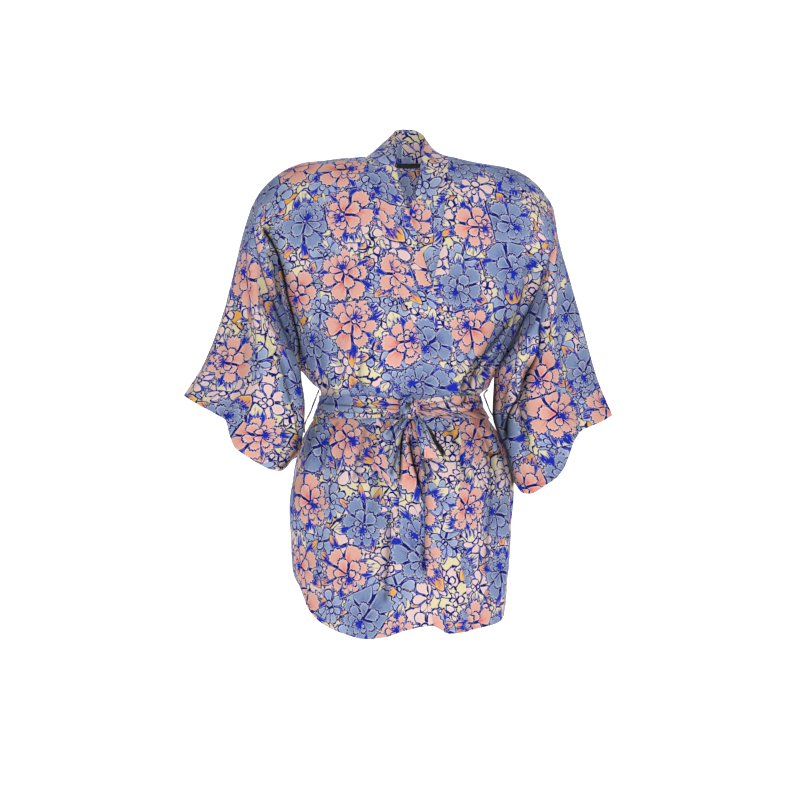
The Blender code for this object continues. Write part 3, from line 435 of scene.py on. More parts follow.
def base_point(face, s, path):
    """A point of the body surface without its folds."""
    roundness = section("round", path)
    depth = section("front" if face == FRONT else "back", path)
    flat_arch = 1 - np.abs(s) ** ARCH_POWER
    arch = (1 - roundness) * flat_arch + roundness * np.cos(np.pi * s / 2)
    x = section("shift", path) + section("half", path) * bend(s, path)
    near_edge = np.maximum(1 - arch, 0.0) ** (1 + EDGE_FALL * roundness)
    y = face * (depth * arch + section("edge", path) * near_edge)
    z = -section("drop", path) + section("slope", path) * shoulder_fall(x)
    return np.stack([x, y, z], axis=-1)


def unit(vectors):
    return vectors / np.maximum(np.linalg.norm(vectors, axis=-1, keepdims=True), 1e-12)


def surface_normal(face, s, path):
    """The outward normal of the body surface, square across each seam."""
    across = base_point(face, s + NORMAL_STEP, path) - base_point(face, s - NORMAL_STEP, path)
    above = np.maximum(path - NORMAL_STEP, 0.0)
    down = base_point(face, s, path + NORMAL_STEP) - base_point(face, s, above)
    normal = face * np.cross(across, down)
    on_side = (np.abs(s) > ON_SIDE) & (path > UNDERARM - ON_SHOULDER)
    normal[..., 1] = np.where((path < ON_SHOULDER) | on_side, 0.0, normal[..., 1])
    return unit(normal)


def from_fold(fold, across, down):
    """How far along a fold's line points lie, and how far beside it."""
    along = (down - fold.top_down) / (fold.low_down - fold.top_down)
    return along, across - (fold.top_across + (fold.low_across - fold.top_across) * along)


def folds(face, s, path):
    """How far creases and gathers move the cloth out of the plain body surface."""
    half = section("half", path)
    moved = np.zeros(np.broadcast(s, path).shape)
    for fold in FOLDS[face]:
        along, beside = from_fold(fold, s, path)
        fade = smoothstep(along / FOLD_FADE_IN) * smoothstep((1 - along) / FOLD_FADE_OUT)
        moved = moved + fold.depth * fade * np.exp(-(beside * half * GIRTH / fold.width) ** 2)
    above = (BELT_TOP - GATHER_START - path) / GATHER_ABOVE
    below = (path - BELT_LOW - GATHER_START) / GATHER_BELOW
    up = smoothstep(above / GATHER_FADE_ABOVE) * smoothstep(1 - above)
    down = smoothstep(below / GATHER_FADE_BELOW) * smoothstep(1 - below)
    for gather in GATHERS[face]:
        ridge = np.exp(-((s - gather.s) * half * GIRTH / gather.width) ** 2)
        moved = moved + ridge * (gather.above * up + gather.below * down)
    return moved * smoothstep((1 - np.abs(s)) / SIDE_FADE)


def cloth_point(face, s, path, lift=0.0):
    """A point of the cloth, moved out of the body surface by a lift and by the folds."""
    out = lift + folds(face, s, path)
    return base_point(face, s, path) + surface_normal(face, s, path) * out[..., None]


def no_lift(s, path):
    return 0.0


def upper_lift(s, path):
    """The upper front rises over the lower one, away from its side seam and its shoulder seam."""
    return OVERLAP_LIFT * smoothstep((s + 1) / OVERLAP_SIDE) * smoothstep(path / OVERLAP_TOP)


def belt_lift(s, path):
    ease = 1 - smoothstep((s - BELT_EASE[0]) / (BELT_EASE[1] - BELT_EASE[0]))
    return BELT_LIFT + upper_lift(s, path) * ease


def to_hem(path, s, hem):
    """Rows below the belt, drawn up so that the last one is the hem."""
    end = HEM - column(hem, "s", "rise", s)
    share = np.maximum(path - BELT_LOW, 0.0) / (HEM - BELT_LOW)
    return np.where(path > BELT_LOW, BELT_LOW + share * (end - BELT_LOW), path)


def grid_normals(points):
    """Normals of a grid of points, by the differences between neighbours."""
    return unit(np.cross(np.gradient(points, axis=1), np.gradient(points, axis=0)))


def edge_place(edges, path, which):
    """The s of a line of the band, its seam or its free edge, at a path."""
    return place_across(edge_x(edges, path, which), path)


def edge_x(edges, path, which):
    return column(edges, "drop", which, section("drop", path))


def neck_place(angle):
    """Place across and path of the back neckline, by its angle from the right neck point."""
    x = NECK_CENTRE - NECK_HALF * np.cos(angle)
    path = np.maximum(NECK_BACK * np.sin(angle), SEAM_GAP / 2)
    return place_across(x, path), path


def band_on_body(side, edges, lift, path, share):
    """The band where it lies on its front: from the seam to the free edge."""
    seam = edge_x(edges, path, "seam") - side * SEAM_GAP
    free = edge_x(edges, path, "free")
    s = place_across(seam + (free - seam) * share, path)
    hem_path = to_hem(path + np.zeros_like(s), s, FRONT_HEM)
    return cloth_point(FRONT, s, hem_path, lift(s, hem_path))


def band_standing(stand, seam_points, path, share):
    """The band where it stands: a strip from the neck seam to its own free edge."""
    free = np.stack([column(stand, "path", axis, path) for axis in "xyz"], axis=-1)
    reach = free - seam_points
    clear = smoothstep((STAND_CLEARANCE_END - path) / STAND_CLEARANCE_RUN)
    offset = SEAM_GAP + STAND_CLEARANCE * clear
    start = seam_points + unit(reach) * offset[..., None]
    out = unit(np.cross(np.gradient(free, axis=0), reach))
    bulge = STAND_BULGE * np.sin(np.pi * share)
    return start + (free - start) * share[..., None] + out * bulge[..., None]


def sleeve_line(lines, side, name, along):
    """A line of the sleeve, outer or inner, as points."""
    x, y, z = [column(lines, "along", name + "_" + axis, along) for axis in "xyz"]
    return np.stack([side * x, y, z], axis=-1)


def armhole_point(side, around):
    """The armhole edge: around runs down the front edge to the underarm and up the back one."""
    path = UNDERARM * 2 * np.minimum(around, 1 - around)
    s = np.full(path.shape, float(side))
    return np.where((around <= 0.5)[..., None], cloth_point(FRONT, s, path), cloth_point(BACK, s, path))


def sleeve_base(side, lines, around, along):
    """A point of the sleeve tube without its creases."""
    y_axis = np.array([0.0, 1.0, 0.0])
    start_out = sleeve_line(lines, side, "outer", np.zeros_like(along))
    start_axis = sleeve_line(lines, side, "inner", np.zeros_like(along)) - start_out
    from_start = armhole_point(side, around) - start_out
    hole_across = np.sum(from_start * start_axis, axis=-1) / np.sum(start_axis * start_axis, axis=-1)
    hole_side = np.sum(from_start * unit(np.cross(y_axis, start_axis)), axis=-1)

    in_front = around <= 0.5
    turn = 2 * np.minimum(around, 1 - around)
    across = (1 - np.cos(np.pi * turn)) / 2
    peak = np.where(in_front, SLEEVE_FRONT_PEAK[side], SLEEVE_BACK_PEAK)
    peak_turn = np.arccos(1 - 2 * peak) / np.pi
    swell = np.sin(np.pi * turn ** (np.log(0.5) / np.log(peak_turn)))
    front = column(lines, "along", "front", along)
    back = column(lines, "along", "back", along)
    deep = np.where(in_front, -front, back) * swell

    blend = smoothstep(along / ARMHOLE_REACH)
    across = hole_across * (1 - blend) + across * blend
    deep = from_start[..., 1] * (1 - blend) + deep * blend
    aside = hole_side * (1 - blend)
    outer = sleeve_line(lines, side, "outer", along)
    axis = sleeve_line(lines, side, "inner", along) - outer
    side_axis = unit(np.cross(y_axis, axis))
    front_wave = column(CUFF_WAVES, "across", "front_right" if side == RIGHT else "front_left", across)
    wave = np.where(in_front, front_wave, column(CUFF_WAVES, "across", "back", across))
    point = outer + axis * across[..., None] + y_axis * deep[..., None] + side_axis * aside[..., None]
    point[..., 2] -= wave * smoothstep((along - CUFF_WAVE_START) / (1 - CUFF_WAVE_START))
    return point


def sleeve_folds(side, around, along):
    moved = np.zeros(np.broadcast(around, along).shape)
    for fold in SLEEVE_FOLDS[side]:
        run, beside = from_fold(fold, around, along)
        fade = smoothstep(run / SLEEVE_FOLD_FADE)
        moved = moved + fold.depth * fade * np.exp(-(beside / fold.width) ** 2)
    return moved


def knot_centre():
    middle = np.array([BELT_MIDDLE])
    out = BELT_LIFT + OVERLAP_LIFT + CLOTH / 2 + KNOT_CLEARANCE + KNOT_HALF[1]
    return cloth_point(FRONT, place_across(np.array([KNOT_X]), middle), middle, out)[0]


# Thickness of the shells.
SHELL = 0.0007
BAND_SHELL = 0.0013
RIBBON_SHELL = 0.0009
LABEL_SHELL = 0.0008

# Rows down the body by start, end and step, and how many rows and columns the other grids have.
BODY_ROWS = ((0.0, 0.06, 0.0025), (0.06, HEM, 0.0040))
BAND_ROWS = ((STAND_BLEND[1], HEM, 0.0040),)
STAND_ROWS = 44
FRONT_COLUMNS = 116
BACK_COLUMNS = 150
NECK_COLUMNS = 44
BAND_COLUMNS = 20
SLEEVE_COLUMNS = 190
SLEEVE_ROWS = 130
BELT_ROWS = 22
BELT_COLUMNS = 150
RIBBON_COLUMNS = 18
RIBBON_ROWS = 90
KNOT_COLUMNS = 97
KNOT_ROWS = 41
CARRIER_ROWS = 40
LABEL_COLUMNS = 30
LABEL_ROWS = 12

# Creases that only the looks need: from a point through a bend to an end, across and down as above,
# with the width in metres at both ends.
CREASE = "x0 y0 x1 y1 x2 y2 start end depth"
CREASES = {
    FRONT: table(
        CREASE,
        (-0.955, 0.19, -0.88, 0.28, -0.79, 0.4, 0.007, 0.01, -0.006),
        (0.93, 0.2, 0.86, 0.28, 0.76, 0.39, 0.007, 0.01, -0.002),
        (-0.62, 0.472, -0.54, 0.4, -0.42, 0.31, 0.005, 0.014, -0.003),
        (-0.46, 0.47, -0.4, 0.41, -0.35, 0.36, 0.005, 0.012, -0.003),
        (-0.3, 0.47, -0.23, 0.42, -0.13, 0.36, 0.004, 0.012, 0.0025),
        (0.72, 0.4, 0.64, 0.44, 0.56, 0.475, 0.008, 0.004, -0.005),
        (0.86, 0.35, 0.76, 0.4, 0.64, 0.47, 0.008, 0.005, 0.003),
        (0.43, 0.38, 0.4, 0.43, 0.38, 0.475, 0.01, 0.004, -0.003),
        (0.1, 0.54, 0.11, 0.6, 0.17, 0.7, 0.004, 0.01, -0.006),
        (0.24, 0.54, 0.25, 0.6, 0.28, 0.68, 0.005, 0.012, 0.003),
        (-0.14, 0.545, -0.16, 0.62, -0.18, 0.76, 0.005, 0.012, -0.004),
        (-0.32, 0.545, -0.35, 0.6, -0.4, 0.69, 0.004, 0.012, 0.003),
        (-0.62, 0.545, -0.68, 0.62, -0.7, 0.72, 0.005, 0.014, 0.0035),
        (0.62, 0.545, 0.66, 0.62, 0.7, 0.74, 0.005, 0.014, -0.004),
        (0.78, 0.545, 0.82, 0.6, 0.84, 0.7, 0.004, 0.01, 0.003),
    ),
    BACK: table(
        CREASE,
        (-0.7, 0.47, -0.56, 0.38, -0.35, 0.27, 0.005, 0.016, -0.004),
        (-0.3, 0.47, -0.24, 0.4, -0.22, 0.3, 0.005, 0.014, 0.003),
        (0.3, 0.47, 0.26, 0.4, 0.3, 0.28, 0.005, 0.014, -0.0035),
        (0.72, 0.47, 0.6, 0.38, 0.42, 0.28, 0.005, 0.016, -0.004),
        (-0.48, 0.545, -0.52, 0.64, -0.5, 0.8, 0.005, 0.016, 0.0035),
        (-0.05, 0.545, -0.04, 0.66, -0.08, 0.82, 0.005, 0.016, -0.0045),
        (0.42, 0.545, 0.47, 0.64, 0.48, 0.76, 0.005, 0.014, 0.0035),
        (0.86, 0.545, 0.86, 0.62, 0.9, 0.74, 0.005, 0.012, -0.004),
    ),
}
CREASE_POINTS = 25
CREASE_FADE_IN = 0.25
CREASE_FADE_OUT = 0.45
# The bank beside a crease's trough: its height, and its place and width in the crease's own widths.
BANK = 0.28
BANK_PLACE = 1.9
BANK_WIDTH = 0.9

# Folds that lie over: the cloth stands proud on one side of a line and is deep on the other, where a
# line of painted shade darkens it. Dark is how strong that painted shade is; a lap of almost no depth
# is only painted shade.
# A positive depth puts the high side on the wearer's left of a line that runs down.
LAP = "width depth dark points"
BODY_LAPS = {
    FRONT: table(
        LAP,
        (0.005, -0.0036, 1, ((-0.955, 0.15), (-0.945, 0.172), (-0.905, 0.222), (-0.822, 0.27),
            (-0.725, 0.314), (-0.705, 0.35), (-0.74, 0.39), (-0.86, 0.44))),
        (0.0034, 0.0036, 0.8, ((0.72, 0.35), (0.66, 0.38), (0.575, 0.412), (0.565, 0.45),
            (0.54, 0.49))),
        (0.004, -0.004, 0.5, ((0.06, 0.64), (0.085, 0.68), (0.11, 0.74), (0.12, 0.8))),
        (0.004, 0.0035, 0.45, ((-0.05, 0.69), (-0.058, 0.74), (-0.083, 0.85))),
        (0.003, 0.003, 0.4, ((-0.33, 0.478), (-0.3, 0.452), (-0.235, 0.42))),
        (0.0034, -0.004, 0.75, ((0.5, 0.482), (0.512, 0.462), (0.495, 0.44), (0.53, 0.42))),
        (0.0028, 0.0034, 0.6, ((0.455, 0.484), (0.45, 0.468), (0.472, 0.444), (0.48, 0.43))),
        (0.003, 0.0036, 0.55, ((0.64, 0.486), (0.63, 0.47), (0.69, 0.452), (0.78, 0.43))),
        (0.003, -0.0032, 0.45, ((-0.56, 0.484), (-0.59, 0.47), (-0.66, 0.455), (-0.76, 0.44))),
        (0.0036, 0.0012, 0.85, ((-0.03, 0.54), (-0.042, 0.59), (-0.06, 0.632))),
        (0.0034, 0.0032, 0.4, ((-0.47, 0.54), (-0.5, 0.575), (-0.52, 0.62))),
        (0.0034, -0.003, 0.4, ((-0.25, 0.54), (-0.262, 0.57), (-0.3, 0.64))),
        (0.0036, 0.0034, 0.38, ((0.33, 0.54), (0.345, 0.58), (0.4, 0.65))),
        (0.0032, -0.0032, 0.5, ((0.7, 0.54), (0.72, 0.565), (0.76, 0.61))),
        (0.003, 0.0026, 0.45, ((0.59, 0.548), (0.585, 0.592), (0.605, 0.64), (0.6, 0.72),
            (0.56, 0.8))),
        (0.0026, 0.002, 0.6, ((0.56, 0.59), (0.64, 0.597), (0.73, 0.592))),
        (0.011, 0.0004, 1, ((0.995, 0.54), (0.975, 0.57), (0.945, 0.6), (0.965, 0.655))),
        (0.005, -0.0006, 0.85, ((-0.995, 0.54), (-0.98, 0.56), (-0.975, 0.59))),
    ),
    BACK: table(
        LAP,
        (0.0045, 0.0045, 0.4, ((0.25, 0.535), (0.27, 0.6), (0.3, 0.7))),
        (0.0036, -0.0034, 0.4, ((-0.1, 0.54), (-0.11, 0.59), (-0.14, 0.66))),
        (0.0036, 0.0034, 0.4, ((-0.56, 0.54), (-0.6, 0.59), (-0.64, 0.68))),
        (0.0036, -0.0034, 0.4, ((0.62, 0.54), (0.65, 0.58), (0.7, 0.65))),
        (0.0034, 0.0032, 0.4, ((0.06, 0.484), (0.05, 0.45), (0.09, 0.4))),
        (0.0034, -0.0034, 0.4, ((0.56, 0.484), (0.52, 0.45), (0.44, 0.39))),
        (0.004, -0.0036, 0.4, ((-0.42, 0.38), (-0.38, 0.43), (-0.36, 0.49))),
    ),
}
SLEEVE_LAPS = {
    RIGHT: table(
        LAP,
        (0.011, 0.0002, 0.8, ((0.44, 0.74), (0.445, 0.88), (0.42, 0.995))),
        (0.004, -0.004, 0.4, ((0.3, 0.42), (0.35, 0.6), (0.43, 0.76), (0.47, 0.93))),
    ),
    LEFT: table(
        LAP,
        (0.005, 0.0042, 1, ((0.33, 0.12), (0.3, 0.25), (0.264, 0.38), (0.262, 0.463), (0.303, 0.55),
            (0.335, 0.58), (0.374, 0.605), (0.412, 0.66), (0.462, 0.745))),
        (0.013, 0.0002, 0.5, ((0.405, 0.44), (0.41, 0.58), (0.445, 0.72))),
    ),
}

# Laps of the belt in metres, across from the middle of the body and down from the belt's top.
BELT_LAPS = {
    FRONT: table(
        LAP,
        (0.0016, 0.0011, 0.55, ((-0.004, 0.031), (-0.04, 0.024), (-0.095, 0.021), (-0.15, 0.016))),
        (0.0015, -0.001, 0.45, ((-0.006, 0.014), (-0.04, 0.012), (-0.085, 0.015))),
        (0.0015, 0.001, 0.4, ((-0.03, 0.041), (-0.07, 0.035), (-0.12, 0.036))),
        (0.0018, -0.0014, 0.7, ((0.028, 0.032), (0.06, 0.029), (0.098, 0.02), (0.14, 0.012))),
        (0.0016, 0.0012, 0.6, ((0.026, 0.015), (0.055, 0.013), (0.09, 0.004))),
        (0.0016, 0.0012, 0.55, ((0.06, 0.043), (0.095, 0.035), (0.145, 0.024))),
        (0.0022, 0.0016, 0.92, ((0.108, -0.008), (0.113, 0.004), (0.108, 0.016))),
        (0.0018, -0.0014, 0.85, ((0.132, 0), (0.137, 0.01), (0.144, 0.018))),
        (0.0016, 0.0012, 0.65, ((0.118, 0.026), (0.132, 0.034), (0.148, 0.04))),
    ),
    BACK: table(
        LAP,
        (0.0016, 0.0011, 0.45, ((-0.12, 0.014), (-0.04, 0.02), (0.06, 0.014))),
        (0.0016, -0.0011, 0.45, ((-0.06, 0.036), (0.03, 0.031), (0.12, 0.034))),
    ),
}

# Laps of the bow's pieces in metres, across from a ribbon's middle and down from its top.
LOOP_LAPS = table(
    LAP,
    (0.0014, 0.001, 0.5, ((-0.002, -0.004), (0.001, 0.022), (0.004, 0.044))),
    (0.0012, -0.0009, 0.45, ((0.004, -0.004), (0.006, 0.014), (0.01, 0.03))),
)
SHORT_TAIL_LAPS = table(
    LAP,
    (0.002, 0.0016, 0.65, ((0.004, -0.004), (0.006, 0.022), (0.002, 0.046), (0.004, 0.075))),
    (0.0018, -0.0014, 0.6, ((-0.004, -0.004), (-0.006, 0.018), (-0.01, 0.04))),
    (0.003, 0.0008, 0.75, ((0.018, 0.004), (0.016, 0.05), (0.014, 0.09))),
)
LONG_TAIL_LAPS = table(
    LAP,
    (0.0036, -0.003, 1, ((-0.003, 0.028), (-0.001, 0.05), (0.004, 0.078), (0.012, 0.102),
        (0.019, 0.128))),
    (0.004, 0.0004, 1, ((-0.003, -0.006), (-0.008, 0.018), (-0.012, 0.04), (-0.015, 0.075),
        (-0.017, 0.11))),
    (0.0014, 0.001, 0.6, ((0.003, -0.004), (0.004, 0.012), (0.003, 0.024))),
)
LAP_REACH = 3.2
LAP_STEP = 0.55
LAP_DARK = 0.80
LAP_FADE = 0.15
CORNER_CUTS = 4

# The row of the bow loop's table where it turns back up, over how far painted shade darkens its inside,
# and how much.
LOOP_TURN = 6
LOOP_TURN_RUN = 0.008
LOOP_INSIDE_SHADE = 0.94

# Layers of coordinates for painted shade lines, how many widths a line reaches, and the soft painted shade
# beside it.
SHADE_LINE_MAP = "Line"
LINE_LAYERS = 3
LINE_FAR = 3.0
LINE_END = 9.0
LINE_SOFT = 3.5
LINE_SOFT_DARK = 0.45
# The depth at which a crease's painted shade is at its darkest, and how dark that is.
TROUGH_DEPTH = 0.0050
TROUGH_DARK = 0.50

# The same creases for the sleeves, in places around and along.
SLEEVE_CREASES = {
    RIGHT: table(
        CREASE,
        (0.2, 0.3, 0.27, 0.6, 0.33, 1, 0.01, 0.016, 0.005),
    ),
    LEFT: table(
        CREASE,
        (0.27, 0.42, 0.33, 0.62, 0.36, 0.95, 0.01, 0.014, -0.008),
    ),
}

# Soft unevenness of the cloth: how long and how high its bumps are, across and down.
BODY_BUMPS = table(
    "across down height",
    (0.075, 0.2, 0.0022), (0.034, 0.075, 0.0008), (0.014, 0.022, 0.0002),
)
SLEEVE_BUMPS = table(
    "across down height",
    (0.07, 0.16, 0.0026), (0.034, 0.07, 0.0009), (0.014, 0.022, 0.0002),
)
BAND_BUMPS = table(
    "across down height",
    (0.03, 0.09, 0.0007), (0.016, 0.024, 0.0003),
)
BELT_BUMPS = table(
    "across down height",
    (0.06, 0.011, 0.0013), (0.022, 0.008, 0.0006),
)
BUMP_SHIFT = 7.3
NOISE_CELLS = 64
# Bumps die away towards side seams, the shoulder line and the belt.
BUMP_SIDE = 0.02
BUMP_SHOULDER = 0.03
BUMP_ARMHOLE = 0.06
BUMP_BELT = 0.030
CREASE_BELT = 0.012

# The carriers are thin sewn tubes: how thick across their flat way, their wall and their sides.
CARRIER_THICK = 0.0026
CARRIER_WALL = 0.0005
CARRIER_SIDES = 12
# How far the sleeve's inner edge sags towards the body below the underarm, and where.
INNER_SAG = 0.0115
INNER_START = 0.08
INNER_NEAR = 0.07
INNER_ALONG = {RIGHT: 0.19, LEFT: 0.22}
INNER_RUN = {RIGHT: 0.13, LEFT: 0.21}
# The painted shade where a sleeve's inner edge rolls in towards the body: its width, how dark it is
# along the sleeve, and how dark its soft part is.
RIM_WIDTH = 0.0036
RIM_ALONG = {RIGHT: (0.00, 0.28, 0.36, 0.60, 0.80, 1.00), LEFT: (0.00, 0.12, 0.20, 0.40, 0.80, 1.00)}
RIM_DARK = {RIGHT: (0.00, 0.00, 0.85, 0.75, 0.90, 0.90), LEFT: (0.00, 0.00, 0.96, 0.92, 0.90, 0.60)}
RIM_SOFT = {RIGHT: 0.25, LEFT: 0.55}
# The layer of painted shade lines that the sleeve's rim goes to.
RIM_LAYER = 2
SLEEVE_GIRTH = 0.55

# The cloth is drawn in along a seam, with small puckers beside it: their height, length and reach.
SEAM_PINCH = 0.0011
SEAM_PINCH_WIDTH = 0.005
PUCKER = 0.0004
PUCKER_LONG = 0.013
PUCKER_ACROSS = 0.05
PUCKER_REACH = 0.016
# Over how far the standing part of the band gets creases and pinches, its tuck under the front, and
# the rows over which it straightens towards the seam at the centre back.
BAND_CREASE_RUN = 0.05
BAND_PINCH_RUN = 0.03
NECK_TUCK = 0.0030
BACK_SEAM_ROWS = 4

# How much narrower the belt is beside the knot, over what reach, and how much rougher it is there.
BELT_PINCH = 0.38
BELT_PINCH_REACH = 0.030
BELT_ROUGH = 2.2
BELT_PUFF = 0.0006
# Away from the knot, behind the body, nothing is pinched.
FAR = 1.0

# A ribbon's flat half width, its pleats (waves across it, height, and reach from the knot) and how
# far its edges roll in.
RIBBON_FLAT = 0.021
RIBBON_PLEATS = 7.5
RIBBON_PLEAT = 0.0016
RIBBON_PLEAT_REACH = 0.05
RIBBON_ROLL = 0.0022

# The knot's blunt ends, its pleats (height, waves round it, waves up it, start), and its two hollows
# by their place, half sizes and strength.
KNOT_BLUNT = 2.6
KNOT_END = 0.06
KNOT_PLEATS = table(
    "height round up start",
    (0.0011, 5, 2.4, 0.0), (0.0007, 9, -3.0, 1.0),
)
KNOT_PITS = table(
    "x z wide high deep",
    (0.0005, 0.0080, 0.0046, 0.0046, 1.0), (-0.0060, 0.0040, 0.0026, 0.0055, 0.9),
)
# How deep the hollows sink and how dark their painted shade is; the groove depth at which a pleat's
# painted shade is full, and how dark that is.
KNOT_PIT = 0.0065
KNOT_PIT_SHADE = 0.97
KNOT_GROOVE = 0.0018
KNOT_GROOVE_SHADE = 0.80
KNOT_FLAT = (0.013, 0.018)

# A distance from the hem at which a piece shows no turned hem, and how far the print is moved along
# from piece to piece, for each seed or as a whole.
NO_HEM = 0.02
PRINT_STEP = {"front": 0.31, "band": 0.43, "sleeve": 0.77, "ribbon": 0.19}
PRINT_START = {"back": 1.7, "belt": 2.9, "carrier": 3.31, "knot": 4.1}
BACK_SEED = 5
BELT_SEED = 31
# The least share of its flat rectangle that a sheet's area is stated as.
LEAST_AREA = 0.31
SHARP_ANGLE = 60


def spaced(stretches):
    """Places along a line, from rows of start, end and step."""
    parts = [np.arange(start, end - step / 2, step) for start, end, step in stretches]
    return np.append(np.concatenate(parts), stretches[-1][1])


def soft_noise(x, y, seed):
    """Smooth noise from -1 to 1, with one bump to a unit each way."""
    heights = np.random.default_rng(seed).uniform(-1, 1, (NOISE_CELLS, NOISE_CELLS))
    i = np.floor(x).astype(int)
    j = np.floor(y).astype(int)
    rows = []
    for k in (0, 1):
        left = heights[i % NOISE_CELLS, (j + k) % NOISE_CELLS]
        right = heights[(i + 1) % NOISE_CELLS, (j + k) % NOISE_CELLS]
        rows.append(left + (right - left) * smoothstep(x - i))
    return rows[0] + (rows[1] - rows[0]) * smoothstep(y - j)


def bumps(rows, u, v, seed):
    moved = np.zeros(u.shape)
    for i, row in enumerate(rows):
        moved = moved + row.height * soft_noise(u / row.across + BUMP_SHIFT * i, v / row.down, seed + i)
    return moved


def crease_profile(distance):
    """A trough with soft banks: 1 in the middle and a little below 0 beside it."""
    return np.exp(-distance ** 2) - BANK * np.exp(-((distance - BANK_PLACE) / BANK_WIDTH) ** 2)


def lap_profile(distance):
    """A fold that lies over: high before the line, low just past it, and level again further on."""
    return np.exp(-(distance / LAP_REACH) ** 2) * np.clip(distance / LAP_STEP, -1, 1)


def bent_line(first, middle, last):
    """Points of a smooth line that leaves first towards middle and arrives at last from there."""
    t = np.linspace(0, 1, CREASE_POINTS)[:, None]
    first, middle, last = (np.array(point) for point in (first, middle, last))
    return first * (1 - t) ** 2 + 2 * middle * t * (1 - t) + last * t * t


def rounded_line(points):
    """A line with its corners cut off again and again."""
    line = np.array(points)
    for _ in range(CORNER_CUTS):
        near = line[:-1] * 0.75 + line[1:] * 0.25
        far = line[:-1] * 0.25 + line[1:] * 0.75
        line = np.concatenate([line[:1], np.stack([near, far], axis=1).reshape(-1, 2), line[-1:]])
    return line


def nearest(x, y, line):
    """How far the points (x, y) are from a line, on which side, and how far along it."""
    away = np.full(x.shape, 1e9)
    share = np.zeros(x.shape)
    past = np.zeros(x.shape)
    count = len(line) - 1
    for i in range(count):
        a = line[i]
        step = line[i + 1] - a
        t = np.clip(((x - a[0]) * step[0] + (y - a[1]) * step[1]) / (step @ step), 0, 1)
        distance = np.hypot(x - a[0] - t * step[0], y - a[1] - t * step[1])
        nearer = distance < away
        away = np.where(nearer, distance, away)
        past = np.where(nearer, np.sign((x - a[0]) * step[1] - (y - a[1]) * step[0]), past)
        share = np.where(nearer, (i + t) / count, share)
    return away, past, share


class Shade:
    """Painted shade on a grid of points, the light that is lost there: soft shade, and dark lines by how
    far they are.

    A line is kept as its distance in its own widths and its strength, so that it stays sharp between
    the points. Neighbouring lines go to different layers."""

    def __init__(self, shape):
        self.light = np.ones(shape)
        self.beside = np.full((LINE_LAYERS,) + shape, LINE_END)
        self.dark = np.zeros((LINE_LAYERS,) + shape)

    def add_line(self, number, beside, dark, soft_dark):
        layer = number % LINE_LAYERS
        soft = np.exp(-(beside / LINE_SOFT) ** 2) * (beside < 0)
        self.light = self.light * (1 - soft_dark * dark * soft)
        nearer = (np.abs(beside) < LINE_END) & (np.abs(beside) < np.abs(self.beside[layer]))
        self.beside[layer] = np.where(nearer, beside, self.beside[layer])
        self.dark[layer] = np.where(nearer, dark * (np.abs(beside) < LINE_FAR), self.dark[layer])

    def fade(self, share):
        self.light = 1 - (1 - self.light) * share
        self.dark = self.dark * share


def lapped(laps, x, y, shade, share=1.0, place=np.array):
    """How far laps move the points (x, y), with their painted shade lines put on shade; place gives a
    line's points in the same metres.
    """
    moved = np.zeros(x.shape)
    for number, lap in enumerate(laps):
        away, past, along = nearest(x, y, rounded_line(place(lap.points)))
        distance = past * away / lap.width * np.sign(lap.depth)
        fade = smoothstep(along / LAP_FADE) * smoothstep((1 - along) / LAP_FADE) * share
        moved = moved + np.abs(lap.depth) * fade * lap_profile(distance)
        shade.add_line(number, (distance + LAP_STEP) / LAP_DARK, lap.dark * fade, LINE_SOFT_DARK)
    return moved


def creased(creases, laps, x, y, place):
    """How far creases and laps move the points (x, y), and the painted shade in them."""
    moved = np.zeros(x.shape)
    for row in creases:
        line = bent_line(*place(((row.x0, row.y0), (row.x1, row.y1), (row.x2, row.y2))))
        away, _, share = nearest(x, y, line)
        width = row.start + (row.end - row.start) * share
        fade = smoothstep(share / CREASE_FADE_IN) * smoothstep((1 - share) / CREASE_FADE_OUT)
        moved = moved + row.depth * fade * crease_profile(away / width)
    # Painted shade: a crease's trough is darkened by its depth.
    deep = np.clip(-moved / TROUGH_DEPTH, 0, 1)
    shade = Shade(x.shape)
    shade.light = 1 - TROUGH_DARK * deep * deep
    return moved + lapped(laps, x, y, shade, place=place), shade


def body_creases(face, s, path):
    """How far creases and laps move a panel of the body, and the painted shade in them."""

    def flat(points):
        return [(at * section("half", np.array(down)) * GIRTH, down) for at, down in points]

    x = s * (section("half", path) * GIRTH)
    moved, shade = creased(CREASES[face], BODY_LAPS[face], x, path + np.zeros(x.shape), flat)
    near_side = smoothstep((1 - np.abs(s)) / (SIDE_FADE / 2))
    off_belt = smoothstep((BELT_TOP - path) / CREASE_BELT) + smoothstep((path - BELT_LOW) / CREASE_BELT)
    return moved * near_side * np.minimum(off_belt, 1.0), shade


def measured(points, axis):
    """Distance run along rows (axis 1) or down columns (axis 0) of a grid of points."""
    step = np.linalg.norm(np.diff(points, axis=axis), axis=-1)
    start = np.zeros_like(np.take(step, [0], axis=axis))
    return np.cumsum(np.concatenate([start, step], axis=axis), axis=axis)


def pattern_place(points, x0, path):
    """Flat places of a panel: across from the line where x is x0, and down by its path."""
    run = measured(points, 1)
    start = []
    for x, at in zip(points[..., 0], run):
        order = np.argsort(x)
        start.append(np.interp(x0, x[order], at[order]))
    return run - np.array(start)[:, None], -path


def pinched(points, normals, away, run, seed):
    """The cloth drawn in along a seam, with small puckers beside it."""
    near = np.exp(-(away / SEAM_PINCH_WIDTH) ** 2)
    noise = soft_noise(run / PUCKER_LONG, away / PUCKER_ACROSS, seed)
    pucker = PUCKER * noise * np.exp(-(away / PUCKER_REACH) ** 2)
    return points + normals * (pucker - SEAM_PINCH * near)[..., None]


def new_object(name, data):
    made = bpy.data.objects.new(name, data)
    bpy.context.scene.collection.objects.link(made)
    return made


